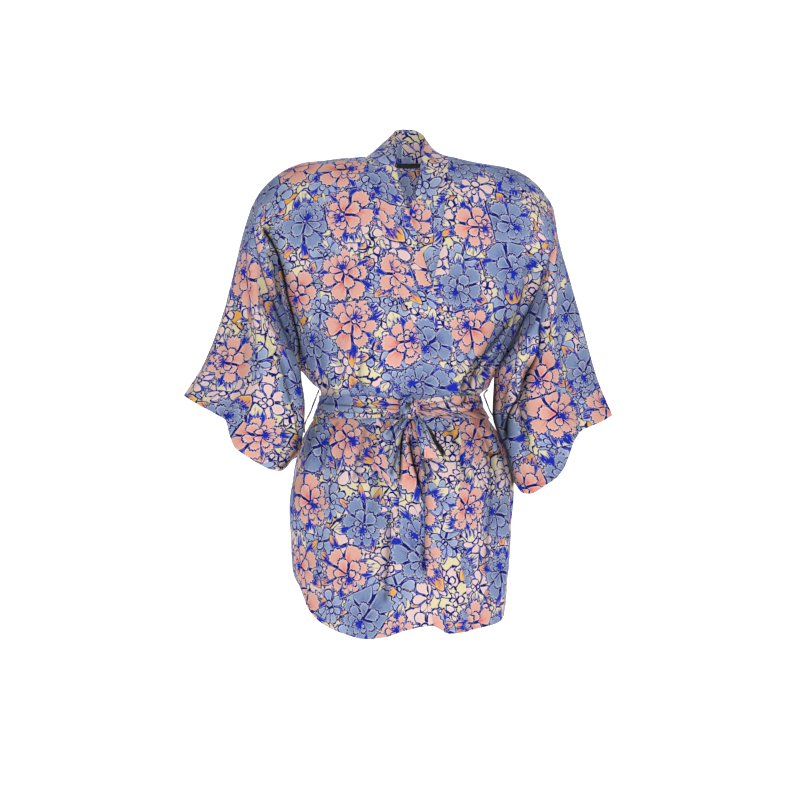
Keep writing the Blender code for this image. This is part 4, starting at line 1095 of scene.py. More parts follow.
def shell(name, points, normals, thickness, flat, hem, material, shade=None):
    """A wall on a dense grid, with its flat places and its distances from the hem as coordinates.

    The second hem coordinate is painted shade: how much light reaches into a deep fold, from 0 to 1.
    Three more maps hold the dark lines of its painted shade."""
    rows, columns = points.shape[:2]
    count = rows * columns
    outer = (points + normals * thickness / 2).reshape(-1, 3)
    inner = (points - normals * thickness / 2).reshape(-1, 3)
    index = np.arange(count).reshape(rows, columns)
    quads = np.stack([index[:-1, :-1], index[:-1, 1:], index[1:, 1:], index[1:, :-1]], axis=-1)
    quads = quads.reshape(-1, 4)
    rims = []
    for line in (index[0], index[-1, ::-1], index[::-1, 0], index[:, -1]):
        rims.append(np.stack([line[:-1], line[:-1] + count, line[1:] + count, line[1:]], axis=-1))
    faces = np.concatenate([quads, quads[:, ::-1] + count, *rims])
    a, b, c = outer[quads[0, :3]]
    if np.dot(np.cross(b - a, c - a), normals.reshape(-1, 3)[quads[0, 0]]) < 0:
        faces = faces[:, ::-1]
    mesh = bpy.data.meshes.new(name)
    mesh.from_pydata(np.concatenate([outer, inner]).tolist(), [], faces.tolist())
    shade = shade or Shade(hem.shape)
    maps = {"Cloth": flat, "Hem_and_shade": (hem, shade.light)}
    for layer in range(LINE_LAYERS):
        maps[SHADE_LINE_MAP + str(layer)] = (shade.beside[layer], shade.dark[layer])
    for map_name, (u, v) in maps.items():
        places = np.stack([u.ravel(), v.ravel()], axis=-1)[faces.ravel() % count]
        layer = mesh.uv_layers.new(name=map_name)
        layer.uv.foreach_set("vector", places.astype(np.float32).ravel())
    mesh.shade_smooth()
    mesh.set_sharp_from_angle(angle=np.radians(SHARP_ANGLE))
    mesh.materials.append(material)
    return new_object(name, mesh)


def put_in_place(piece, node):
    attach(piece, "root")
    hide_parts(node)


def state_sheet(grid):
    """Works out the flat cut that a piece was sewn from, its width, length and area, which are not used
    further.
    """
    width = float(measured(grid, 1)[:, -1].max())
    length = float(measured(grid, 0)[-1].max())
    a = grid[:-1, :-1]
    c = grid[1:, 1:]
    halves = np.cross(grid[:-1, 1:] - a, c - a), np.cross(c - a, grid[1:, :-1] - a)
    area = float(sum(np.linalg.norm(half, axis=-1).sum() for half in halves) / 2)
    flat = (round(width, 3), round(length, 3))
    area = min(max(area, LEAST_AREA * flat[0] * flat[1]), flat[0] * flat[1])


def sewn(name, points, normals, thickness, flat, hem, material, shade):
    """A printed piece in the place of the node that has its name."""
    piece = shell(name, points, normals, thickness, flat, hem, material, shade)
    put_in_place(piece, name.replace("cloth_", ""))
    state_sheet(points)


def outward(points, away):
    """Normals of a grid of points on the side of away."""
    normals = grid_normals(points)
    return normals if np.sum(normals * away) > 0 else -normals


def worn(face, s, path, lift, seed):
    """Points and normals of the cloth of a panel, with every crease and bump, and the painted shade of its
    deep folds.
    """
    base = cloth_point(face, s, path, lift)
    half = section("half", path)
    soft = bumps(BODY_BUMPS, s * half * GIRTH, path, seed)
    calm = smoothstep((1 - np.abs(s)) * half / BUMP_SIDE) * smoothstep(path / BUMP_SHOULDER)
    at_belt = np.exp(-((path - BELT_MIDDLE) / BUMP_BELT) ** 2)
    folded, shade = body_creases(face, s, path)
    way = np.array([0.0, face, 0.0])
    points = base + outward(base, way) * (folded + soft * calm * (1 - at_belt))[..., None]
    return points, outward(points, way), shade


def make_front(name, side, edges, lift, grain, seed, material):
    path = spaced(BODY_ROWS)[:, None]
    seam_s = edge_place(edges, path, "seam")
    share = np.linspace(0, 1, FRONT_COLUMNS + 1)[None, :]
    s = side + (seam_s - side) * share
    path = to_hem(path + np.zeros_like(s), s, FRONT_HEM)
    points, normals, shade = worn(FRONT, s, path, lift(s, path), seed)
    from_seam = np.minimum(np.abs(s - side), np.abs(s - seam_s)) * section("half", path)
    points = pinched(points, normals, from_seam, path, seed)
    u, v = pattern_place(points, grain, path)
    flat = (u + PRINT_STEP["front"] * seed, v)
    hem = path[-1:] - path
    sewn(name, points, normals, SHELL, flat, hem, material, shade)


def make_back(material):
    neck_s, neck_path = neck_place(np.linspace(0, np.pi, NECK_COLUMNS + 1))
    side_columns = (BACK_COLUMNS - NECK_COLUMNS) // 2
    right_s = np.linspace(-1, neck_s[0], side_columns + 1)[:-1]
    left_s = np.linspace(neck_s[-1], 1, side_columns + 1)[1:]
    s = np.concatenate([right_s, neck_s, left_s])[None, :]
    top = np.zeros(s.shape)
    top[0, len(right_s):len(right_s) + len(neck_s)] = neck_path
    path = spaced(BODY_ROWS)[:, None]
    raised = top + path * (UNDERARM - top) / UNDERARM
    s = s + np.zeros_like(path)
    path = to_hem(np.where(path < UNDERARM, raised, path + np.zeros_like(s)), s, BACK_HEM)
    points, normals, shade = worn(BACK, s, path, 0.0, BACK_SEED)
    points = pinched(points, normals, (1 - np.abs(s)) * section("half", path), path, BACK_SEED)
    u, v = pattern_place(points, 0.0, path)
    flat = (u + PRINT_START["back"], v)
    hem = path[-1:] - path
    sewn("cloth_back", points, normals, SHELL, flat, hem, material, shade)


def band_surface(side, edges, stand, lift, share):
    """Points of a band from the centre back to the hem, their paths, and where it lies on the body."""
    half_turn = np.linspace(0, np.pi / 2, STAND_ROWS // 2 + 1)
    turn = half_turn if side == RIGHT else np.pi - half_turn
    back_points = cloth_point(BACK, *neck_place(turn))[::-1]
    back_path = stand[0].path * np.linspace(1, 0, len(half_turn))
    front_path = np.linspace(0, STAND_BLEND[1], STAND_ROWS + 1)[1:-1]
    front_s = edge_place(edges, front_path, "seam")
    front_points = cloth_point(FRONT, front_s, front_path, lift(front_s, front_path))
    neck_path = np.concatenate([back_path, front_path])[:, None]
    seam_points = np.concatenate([back_points, front_points])[:, None, :]
    standing = band_standing(stand, seam_points, neck_path, share + np.zeros_like(neck_path))
    lying = band_on_body(side, edges, lift, np.maximum(neck_path, 0.0), share)
    blend = smoothstep((neck_path - STAND_BLEND[0]) / (STAND_BLEND[1] - STAND_BLEND[0]))[..., None]
    body_path = spaced(BAND_ROWS)[:, None]
    body = band_on_body(side, edges, lift, body_path, share)
    points = np.concatenate([standing * (1 - blend) + lying * blend, body])
    points[0, :, 0] += side * SEAM_GAP / 2
    on_body = smoothstep((body_path - STAND_BLEND[1]) / BAND_CREASE_RUN)
    path = np.concatenate([neck_path, body_path])
    return points, path, np.concatenate([np.zeros_like(neck_path), on_body])


def make_band(name, side, edges, stand, lift, seed, material):
    share = np.linspace(0, 1, BAND_COLUMNS + 1)[None, :]
    points, path, on_body = band_surface(side, edges, stand, lift, share)
    normals = grid_normals(points) * side
    u = measured(points, 1)
    v = -measured(points, 0)
    down = np.maximum(path, 0)
    seam = edge_place(edges, down, "seam")
    s = seam + (edge_place(edges, down, "free") - seam) * share
    folded, shade = body_creases(FRONT, s, down + np.zeros_like(share))
    shade.fade(on_body)
    soft = bumps(BAND_BUMPS, u, v, seed)
    at_belt = np.exp(-((path - BELT_MIDDLE) / BUMP_BELT) ** 2)
    points = points + normals * (folded * on_body + soft * (1 - at_belt))[..., None]
    pinch_share = smoothstep((path - STAND_BLEND[0]) / BAND_PINCH_RUN)
    points = points + (pinched(points, normals, u, v, seed + 1) - points) * pinch_share[..., None]
    points[:, 0] += unit(points[:, 0] - points[:, 1]) * NECK_TUCK * (1 - pinch_share)
    back_seam = 1 - smoothstep(np.arange(len(points)) / BACK_SEAM_ROWS)[:, None]
    x = points[..., 0]
    straight = x - x[:1] + side * SEAM_GAP / 2
    points[..., 0] = x * (1 - back_seam) + straight * back_seam
    flat = (u + PRINT_STEP["band"] * seed, v)
    hem = np.maximum(v - v[-1:], 0)
    sewn(name, points, normals, BAND_SHELL, flat, hem, material, shade)


def sleeve_place(points):
    """Flat places of a sleeve, unrolled as a tube whose length lies along its outer fold."""
    fold = SLEEVE_COLUMNS // 2
    length_way = unit(points[-1, fold] - points[0, fold])
    down = np.sum((points - points[0, fold]) * length_way, axis=-1)
    step = np.diff(points, axis=1)
    step_down = np.diff(down, axis=1)
    step_across = np.sqrt(np.maximum(np.sum(step * step, axis=-1) - step_down ** 2, 0))
    across = np.concatenate([np.zeros((len(points), 1)), np.cumsum(step_across, axis=1)], axis=1)
    return across - across[:, [fold]], -down


def make_sleeve(name, side, lines, seed, material):
    """A sleeve from its underarm seam over the back, the shoulder line and the front, and back to it."""
    turn = np.linspace(0, 1, SLEEVE_COLUMNS + 1)[None, :]
    around = np.where(turn < 0.5, (0.5 + turn) % 1.0, np.where(turn > 0.5, turn - 0.5, 0.0))
    along = np.linspace(0, 1, SLEEVE_ROWS + 1)[:, None]
    around = around + np.zeros_like(along)
    along = along + np.zeros_like(around)
    points = sleeve_base(side, lines, around, along)
    from_inner = (around - 0.5) / INNER_NEAR
    near = np.exp(-from_inner ** 2 - ((along - INNER_ALONG[side]) / INNER_RUN[side]) ** 2)
    points[..., 0] -= side * INNER_SAG * near * smoothstep(along / INNER_START)
    normals = outward(points, points - points.mean(axis=1, keepdims=True))
    u, v = sleeve_place(points)
    run = measured(points, 0)
    length = run[-1].mean()
    from_underarm = np.minimum(turn, 1 - turn) * measured(points, 1)[:, -1:]
    calm = smoothstep(along / BUMP_ARMHOLE) * smoothstep(from_underarm / BUMP_SIDE)

    def flat(places):
        return [(at * SLEEVE_GIRTH, down * length) for at, down in places]

    moved, shade = creased(
        SLEEVE_CREASES[side], SLEEVE_LAPS[side], around * SLEEVE_GIRTH, along * length, flat
    )
    out = sleeve_folds(side, around, along) + moved + bumps(SLEEVE_BUMPS, u, v, seed) * calm
    outermost = side * points[..., 0]
    from_innermost = outermost - outermost.min(axis=1, keepdims=True)
    # Painted shade along the sleeve's inner edge, where it rolls in towards the body.
    dark = monotone(RIM_ALONG[side], RIM_DARK[side], along)
    shade.add_line(RIM_LAYER, -from_innermost / RIM_WIDTH, dark, RIM_SOFT[side])
    points = points + normals * out[..., None]
    points = pinched(points, normals, np.minimum(along * length, from_underarm), u, seed)
    points[0, :, 0] += side * SEAM_GAP
    hem = run[-1:] - run
    places = (u + PRINT_STEP["sleeve"] * seed, v)
    sewn(name, points, normals, SHELL, places, hem, material, shade)


def make_belt(material):
    """The belt round the waist, crumpled along its length, sewn into a ring behind the knot."""
    path = np.linspace(BELT_TOP, BELT_LOW, BELT_ROWS + 1)[:, None]
    start = place_across(np.array([KNOT_X]), np.array([BELT_MIDDLE]))[0]
    right = np.linspace(start, -1, BELT_COLUMNS // 2)
    back = np.linspace(-1, 1, BELT_COLUMNS)[1:-1]
    left = np.linspace(1, start, BELT_COLUMNS // 2)
    parts = []
    pinches = []
    for face, s in ((FRONT, right), (BACK, back), (FRONT, left)):
        s = s + np.zeros_like(path)
        reach = np.abs(s - start) * section("half", BELT_MIDDLE) if face == FRONT else FAR
        pinch = 1 - BELT_PINCH * np.exp(-(reach / BELT_PINCH_REACH) ** 2) + np.zeros_like(s)
        here = BELT_MIDDLE + (path - BELT_MIDDLE) * pinch
        parts.append(cloth_point(face, s, here, belt_lift(s, here) if face == FRONT else BELT_LIFT))
        pinches.append(pinch)
    points = np.concatenate(parts, axis=1)
    normals = outward(points, points - points.mean(axis=1, keepdims=True))
    u = measured(points, 1)
    down = path - BELT_TOP + np.zeros_like(u)
    rough = 1 + BELT_ROUGH * (1 - np.concatenate(pinches, axis=1)) / BELT_PINCH
    shade = Shade(u.shape)
    out = bumps(BELT_BUMPS, u, -down, BELT_SEED) * rough + BELT_PUFF
    faces = np.where(normals[..., 1] < 0, FRONT, BACK)
    for face in (FRONT, BACK):
        out = out + lapped(BELT_LAPS[face], points[..., 0], down, shade, faces == face)
    points = points + normals * out[..., None]
    edge = np.minimum(down, BELT_LOW - path) + NO_HEM
    flat = (PRINT_START["belt"] - down, u)
    sewn("cloth_belt_waist", points, normals, RIBBON_SHELL, flat, edge, material, shade)


def make_ribbon(name, ribbon, laps, slant, seed, material, turn=None):
    """A ribbon of the bow, over the front of the body, with painted shade inside past the row where it
    turns.
    """
    course = np.array(ribbon)
    run = np.append(0.0, np.cumsum(np.linalg.norm(np.diff(course[:, :3], axis=0), axis=1)))
    where = np.linspace(0, run[-1], RIBBON_ROWS)[:, None]
    across = np.linspace(-1, 1, RIBBON_COLUMNS)[None, :]
    x, path, lift, half = [monotone(run, values, where) for values in course.T]
    path = np.minimum(path + across * slant * smoothstep(where / run[-1]), HEM)
    pleat = np.cos(across * RIBBON_PLEATS) * RIBBON_PLEAT * np.exp(-where / RIBBON_PLEAT_REACH)
    lift = lift + RIBBON_CROWN * (1 - across * across) + pleat - RIBBON_ROLL * across ** 4
    points = cloth_point(FRONT, place_across(x + across * half, path), path, lift)
    normals = -grid_normals(points)
    u = across * RIBBON_FLAT + np.zeros_like(where)
    down = where + np.zeros_like(across)
    shade = Shade(u.shape)
    folded = lapped(laps, across * half, down, shade)
    if turn is not None:
        inside = smoothstep((down - run[turn]) / LOOP_TURN_RUN)
        folded = folded * (1 - inside)
        shade.fade(1 - inside)
        # Painted shade on the loop's inside past its turn.
        shade.light = shade.light * (1 - LOOP_INSIDE_SHADE * inside)
    points = points + normals * (bumps(BELT_BUMPS[1:], -down, u, seed) + folded)[..., None]
    edge = RIBBON_FLAT - np.abs(u) + NO_HEM
    flat = (u + PRINT_STEP["ribbon"] * seed, -down)
    sewn(name, points, normals, RIBBON_SHELL, flat, edge, material, shade)


def make_knot(material):
    """The knot: cloth wrapped over itself, pleated lengthwise, with a hollow where it turns; painted shade
    darkens the hollow and the pleats' grooves.
    """
    turn = np.linspace(0, 2 * np.pi, KNOT_COLUMNS)[None, :]
    rise = np.linspace(-1, 1, KNOT_ROWS)[:, None]
    girth = np.sqrt(np.maximum(1 - np.abs(rise) ** KNOT_BLUNT, 0)) * (1 - KNOT_END) + KNOT_END
    x = np.cos(turn) * girth * KNOT_HALF[0]
    y = np.sin(turn) * girth * KNOT_HALF[1]
    z = rise * KNOT_HALF[2] + np.zeros_like(turn)
    points = np.stack([x, y, z], axis=-1)
    normals = unit(points / np.array(KNOT_HALF) ** 2)
    pleats = sum(row.height * np.sin(row.round * turn + row.up * rise + row.start) for row in KNOT_PLEATS)
    pit = np.zeros(x.shape)
    for row in KNOT_PITS:
        hollow = np.exp(-((x - row.x) / row.wide) ** 2 - ((z - row.z) / row.high) ** 2)
        pit = np.maximum(pit, row.deep * hollow * (y < 0))
    points = points + normals * (pleats * girth - KNOT_PIT * pit)[..., None] + knot_centre()
    # Painted shade in the hollows and in the grooves between the pleats.
    groove_shade = np.clip(-pleats / KNOT_GROOVE, 0, 1)
    shade = Shade(x.shape)
    shade.light = (1 - KNOT_PIT_SHADE * pit) * (1 - KNOT_GROOVE_SHADE * groove_shade * groove_shade)
    u = turn * KNOT_FLAT[0] + np.zeros_like(rise) + PRINT_START["knot"]
    flat = (u, rise * KNOT_FLAT[1] + np.zeros_like(turn))
    hem = np.full(x.shape, NO_HEM)
    sewn("cloth_belt_knot", points, normals, RIBBON_SHELL, flat, hem, material, shade)


def make_carrier(name, side, material):
    path = np.linspace(CARRIER_PATHS[0], CARRIER_PATHS[-1], CARRIER_ROWS)[:, None]
    middle = base_point(FRONT, np.full(path.shape, float(side)), path)
    middle[..., 0] += side * monotone(CARRIER_PATHS, CARRIER_LIFTS, path)
    middle[..., 1] = 0.0
    forward = unit(np.gradient(middle, axis=0))
    outer_way = np.stack([-forward[..., 2], forward[..., 1], forward[..., 0]], axis=-1)
    turn = np.linspace(0, 2 * np.pi, CARRIER_SIDES + 1)[None, :, None]
    flat_way = np.array([0.0, CARRIER_HALF, 0.0])
    points = middle + np.cos(turn) * outer_way * CARRIER_THICK / 2 + np.sin(turn) * flat_way
    u = measured(points, 1)
    flat = (u + PRINT_START["carrier"], -measured(points, 0))
    hem = np.full(u.shape, NO_HEM)
    piece = shell(name, points, unit(points - middle), CARRIER_WALL, flat, hem, material)
    put_in_place(piece, name.replace("cloth_", ""))


def make_label(material):
    x = np.linspace(LABEL_X[0], LABEL_X[1], LABEL_COLUMNS)[None, :]
    angle = np.arccos(np.clip((NECK_CENTRE - x) / NECK_HALF, -1, 1))
    path = NECK_BACK * np.sin(angle) + np.linspace(LABEL_DROP[0], LABEL_DROP[1], LABEL_ROWS)[:, None]
    points = cloth_point(BACK, place_across(x + np.zeros_like(path), path), path, LABEL_LIFT)
    normals = outward(points, np.array([0.0, FRONT, 0.0]))
    flat = (measured(points, 1), -measured(points, 0))
    hem = np.full(path.shape, NO_HEM)
    piece = shell("label_neck", points, normals, LABEL_SHELL, flat, hem, material)
    put_in_place(piece, "neck_label")
    state_sheet(points)


# Colours of the print, as linear red, green and blue.
def colour(red, green, blue):
    """An 8-bit screen colour in linear light."""
    parts = np.array([red, green, blue]) / 255
    linear = np.where(parts <= 0.04045, parts / 12.92, ((parts + 0.055) / 1.055) ** 2.4)
    return (*linear.tolist(), 1.0)


INK = colour(16, 22, 108)
COBALT = colour(22, 42, 172)
DEEP_BLUE = colour(74, 90, 150)
GREY_BLUE = colour(124, 142, 178)
PALE_BLUE = colour(150, 166, 198)
CORAL = colour(222, 92, 76)
SALMON = colour(218, 166, 152)
PINK = colour(222, 194, 190)
CREAM = colour(218, 208, 168)
OCHRE = colour(228, 164, 70)
WHITE = colour(236, 232, 236)
# Not a print colour: the colour of the painted shade that darkens the print in folds and hollows.
SHADOW = colour(4, 3, 8)

# An outline's width inside a petal's side and how many times that at its tip, and the pale edge
# outside a motif: its width, the share of it that is full, and how white it is.
LINE = 0.00160
TIP_LINE = 2.0
HALO = 0.0010
HALO_FULL = 0.4
HALO_WHITE = 0.6
# The pale rim inside an outline: how wide, and how much of it is white.
RIM = 0.0022
RIM_WHITE = 0.42

# A flower is drawn in rings, outer one first: how many petals, how far they reach as a share of the
# flower's size, how that varies, how far the ring's middle lies aside, how blunt or pointed and how
# toothed the tips are, and how much of its sector each petal fills.
RING = "petals reach vary aside blunt point teeth tooth fill"
PEONY_RINGS = table(
    RING,
    (8, 1.00, 0.16, 0.00, 0.36, 3.2, 3, 0.085, 0.97),
    (8, 0.70, 0.24, 0.16, 0.38, 2.8, 3, 0.070, 1.0),
    (7, 0.42, 0.30, 0.30, 0.42, 2.2, 2, 0.070, 1.0),
)
LOTUS_RINGS = table(
    RING,
    (8, 1.00, 0.20, 0.00, 0.52, 2.6, 1, 0.0, 0.94),
    (4, 0.46, 0.25, 0.12, 0.40, 2.2, 1, 0.0, 1.0),
)
LEAF_RINGS = table(RING, (6, 1.42, 0.12, 0.00, 0.60, 1.25, 1, 0.0, 0.80))
BUD_RINGS = table(RING, (5, 1.00, 0.16, 0.00, 0.46, 2.2, 2, 0.06, 0.98))
# The number that tells the leaves' chances from those of a flower's rings.
LEAF_NUMBER = 9
# From ring to ring, how far the petals and their sway are turned on.
RING_START = 0.37
RING_SWAY = 0.3
# A full turn and half of one, and the rounder one that whole motifs and streaks are turned by.
FULL_TURN = 6.28319
HALF_TURN = 3.14159
LOOSE_TURN = 6.283
SWAY = 0.45


class Graph:
    """Shader nodes built by short calls. A value is an output socket, a number or a vector."""

    def __init__(self, material):
        self.tree = material.node_tree
        self.count = 0

    def node(self, kind, values=(), **settings):
        made = self.tree.nodes.new(kind)
        made.location = (-200 * (self.count % 40), -180 * (self.count // 40))
        self.count += 1
        for name, value in settings.items():
            setattr(made, name, value)
        for name, value in dict(values).items():
            self.give(made.inputs[name], value)
        return made

    def give(self, socket, value):
        if isinstance(value, bpy.types.NodeSocket):
            self.tree.links.new(value, socket)
        else:
            socket.default_value = value

    def math(self, operation, *values):
        return self.node("ShaderNodeMath", enumerate(values), operation=operation).outputs[0]

    def vector(self, operation, *values):
        made = self.node("ShaderNodeVectorMath", operation=operation)
        for socket, value in zip(made.inputs, values):
            self.give(socket, value)
        return made.outputs["Value" if operation in ("LENGTH", "DOT_PRODUCT") else "Vector"]

    def scaled(self, value, factor):
        made = self.node("ShaderNodeVectorMath", operation="SCALE")
        self.give(made.inputs[0], value)
        self.give(made.inputs["Scale"], factor)
        return made.outputs["Vector"]

    def smooth(self, value, low, high, start=0.0, end=1.0):
        made = self.node("ShaderNodeMapRange", interpolation_type="SMOOTHSTEP")
        ends = {"Value": value, "From Min": low, "From Max": high, "To Min": start, "To Max": end}
        for name, given in ends.items():
            self.give(made.inputs[name], given)
        return made.outputs["Result"]

    def mix(self, share, low, high):
        made = self.node("ShaderNodeMix", data_type="RGBA")
        self.give(made.inputs[0], share)
        self.give(made.inputs[6], low)
        self.give(made.inputs[7], high)
        return made.outputs[2]

    def split(self, vector):
        return self.node("ShaderNodeSeparateXYZ", {"Vector": vector}).outputs

    def joined(self, *parts):
        made = self.node("ShaderNodeCombineXYZ")
        for socket, value in zip(made.inputs, parts):
            self.give(socket, value)
        return made.outputs[0]

    def noise(self, vector, scale, detail=1.0):
        made = self.node("ShaderNodeTexNoise", {"Vector": vector, "Scale": scale, "Detail": detail})
        return made.outputs

    def chance(self, vector):
        return self.node("ShaderNodeTexWhiteNoise", {"Vector": vector}, noise_dimensions="3D").outputs


# The layers of the print: how far apart motifs lie and how evenly, how much one is drawn in one way,
# its size and how much that varies, how many brush streaks lie round it, and the chance above which it
# is blue.
BUDS, LOTUSES, PEONIES = table(
    "spacing evenness squash size vary streaks blue",
    (0.034, 0.80, 1.1, 0.0165, 0.004, 30.0, 0.80),
    (0.072, 0.60, 1.15, 0.0360, 0.007, 50.0, 0.35),
    (0.102, 0.55, 1.15, 0.0500, 0.012, 60.0, 0.54),
)
LOTUS_SHIFT = (0.53, 0.21, 0.0)
LOTUS_LEAVES = 0.9
# The ground's cells, and the chances above which one is pink or ochre.
GROUND_SPACING = 0.0260
GROUND_EVENNESS = 0.9
GROUND_PINK = 0.72
GROUND_OCHRE = 0.92
# Streaks: how fine their noise is and how much of it lies on the way out from the middle.
STREAK_NOISE = 2.2
STREAK_OUT = 25.0
# How far streaks and the way out decide a petal's colour, and where its foot turns into its tip.
PETAL_STREAK = 0.7
PETAL_BLEND = (0.18, 0.66)
# The same for the foot of a leaf, and the chances above which a leaf is ochre and is shown at all.
LEAF_STREAK = 0.75
LEAF_BLEND = (-0.78, -0.68)
LEAF_OCHRE = 0.62
LEAF_SHOWN = 0.22
# How far hand-drawn unevenness moves the motifs and the cells of the ground.
WOBBLE_SCALE = 55.0
DRAWN_WOBBLE = 0.0075
GROUND_WOBBLE = 0.020
# The blue eye of a peony: how far aside it lies, its radius, and how far streaks move its rim.
EYE_ASIDE = 0.34
EYE_RADIUS = 0.11
EYE_STREAK = 0.030

Motif = namedtuple("Motif", "at seed size streak border")


def scattered(graph, place, spacing, evenness):
    """One motif to each cell of a loose grid: its own coordinates in metres, and three chances."""
    values = {"Vector": place, "Scale": 1 / spacing, "Randomness": evenness}
    cells = graph.node("ShaderNodeTexVoronoi", values, voronoi_dimensions="2D")
    rim = graph.node("ShaderNodeTexVoronoi", values, voronoi_dimensions="2D", feature="DISTANCE_TO_EDGE")
    at = graph.vector("SUBTRACT", place, cells.outputs["Position"])
    border = graph.math("MULTIPLY", rim.outputs["Distance"], spacing)
    return at, graph.split(cells.outputs["Color"]), border


def angular_streak(graph, at, seed, count):
    """Brush streaks that run out from a flower's middle, from -0.5 to 0.5."""
    x, y, _ = graph.split(at)
    angle = graph.math("ARCTAN2", y, x)
    radius = graph.vector("LENGTH", at)
    turns = graph.math("MULTIPLY", angle, count / LOOSE_TURN)
    where = graph.joined(turns, graph.math("MULTIPLY", radius, STREAK_OUT), seed)
    return graph.math("SUBTRACT", graph.noise(where, STREAK_NOISE, 1.0)["Fac"], 0.5)


def motif(graph, place, layer):
    """One layer's motifs, each turned at random, drawn in one way and of its own size."""
    at, (seed, bigness, turn), border = scattered(graph, place, layer.spacing, layer.evenness)
    angle = graph.math("MULTIPLY", turn, LOOSE_TURN)
    spun = graph.node("ShaderNodeVectorRotate", {"Vector": at, "Angle": angle}, rotation_type="Z_AXIS")
    here = graph.vector("MULTIPLY", spun.outputs[0], (1.0, layer.squash, 1.0))
    size = graph.math("MULTIPLY_ADD", bigness, layer.vary, layer.size)
    return Motif(here, seed, size, angular_streak(graph, here, seed, layer.streaks), border)


def petals(graph, spot, ring, number):
    """One ring of petals: depth inside it in metres, share of the way out, chances, and reach left.

    The petals crowd together on the side that the ring's middle lies on."""
    offset = graph.joined(graph.math("MULTIPLY", spot.size, ring.aside), 0.0, 0.0)
    here = graph.vector("SUBTRACT", spot.at, offset)
    radius = graph.vector("LENGTH", here)
    x, y, _ = graph.split(here)
    angle = graph.math("ARCTAN2", y, x)
    sway = graph.math("SINE", graph.math("ADD", angle, RING_SWAY * number))
    angle = graph.math("MULTIPLY_ADD", sway, SWAY, angle)
    start = graph.math("ADD", spot.seed, RING_START * number)
    sector = graph.math("MULTIPLY_ADD", angle, ring.petals / FULL_TURN, start)
    index = graph.math("WRAP", graph.math("FLOOR", sector), float(ring.petals), 0.0)
    place = graph.math("ABSOLUTE", graph.math("SUBTRACT", graph.math("FRACT", sector), 0.5))
    chance = graph.chance(graph.joined(index, spot.seed, float(number)))
    shorter = graph.math("MULTIPLY", chance["Value"], -ring.vary)
    full = graph.math("MULTIPLY", graph.math("ADD", shorter, ring.reach), spot.size)
    spread = graph.math("POWER", graph.math("MULTIPLY", place, 2.0 / ring.fill), ring.point)
    tip = graph.math("MULTIPLY_ADD", spread, -ring.blunt, 1.0)
    if ring.tooth:
        saw = graph.math("PINGPONG", graph.math("MULTIPLY", place, float(ring.teeth) * 2), 0.5)
        tip = graph.math("MULTIPLY_ADD", saw, -ring.tooth * 2, tip)
    edge = graph.math("MULTIPLY_ADD", full, tip, graph.math("MULTIPLY", radius, -1.0))
    half_sector = HALF_TURN * ring.fill / ring.petals
    aside = graph.math("MULTIPLY_ADD", place, -FULL_TURN / ring.petals, half_sector)
    side = graph.math("MULTIPLY", aside, radius)
    depth = graph.math("MINIMUM", graph.math("MULTIPLY", edge, 1 / TIP_LINE), side)
    share = graph.math("DIVIDE", radius, full)
    return graph.math("MINIMUM", depth, spot.border), share, chance, edge


def painted(graph, under, depth, inside, fill):
    """A motif's fill and outline over what lies under it, with a pale edge around the motif."""
    pale = graph.smooth(inside, -HALO, -HALO_FULL * HALO, 0.0, HALO_WHITE)
    around = graph.mix(pale, under, WHITE)
    rim = graph.smooth(depth, LINE, LINE + RIM, RIM_WHITE, 0.0)
    inked = graph.mix(graph.math("LESS_THAN", depth, LINE), graph.mix(rim, fill, WHITE), INK)
    return graph.mix(graph.math("GREATER_THAN", inside, 0.0), around, inked)


def leaves(graph, under, spot):
    """Pointed leaves behind a flower, cream or ochre, with a hatched cobalt foot."""
    depth, share, chance, _ = petals(graph, spot, LEAF_RINGS[0], LEAF_NUMBER)
    tint = some(graph, chance["Value"], LEAF_OCHRE, CREAM, OCHRE)
    foot = graph.math("MULTIPLY_ADD", spot.streak, LEAF_STREAK, graph.math("MULTIPLY", share, -1.0))
    fill = graph.mix(graph.smooth(foot, *LEAF_BLEND), tint, COBALT)
    shown = graph.math("GREATER_THAN", graph.split(chance["Color"])[1], LEAF_SHOWN)
    inside = graph.math("MULTIPLY", graph.math("GREATER_THAN", depth, 0.0), shown)
    return painted(graph, under, depth, graph.math("SUBTRACT", inside, 0.5), fill)


def flower(graph, under, spot, rings, foot_colour, tip_colour):
    """Rings of petals, each painted over the one outside it."""
    for number, ring in enumerate(rings):
        depth, share, _, edge = petals(graph, spot, ring, number)
        run = graph.math("MULTIPLY_ADD", spot.streak, PETAL_STREAK, share)
        fill = graph.mix(graph.smooth(run, *PETAL_BLEND), foot_colour, tip_colour)
        under = painted(graph, under, depth, graph.math("MINIMUM", edge, spot.border), fill)
    return under


def some(graph, chance, least, usual, other):
    """One colour or, where the chance is above least, another."""
    return graph.mix(graph.math("GREATER_THAN", chance, least), usual, other)


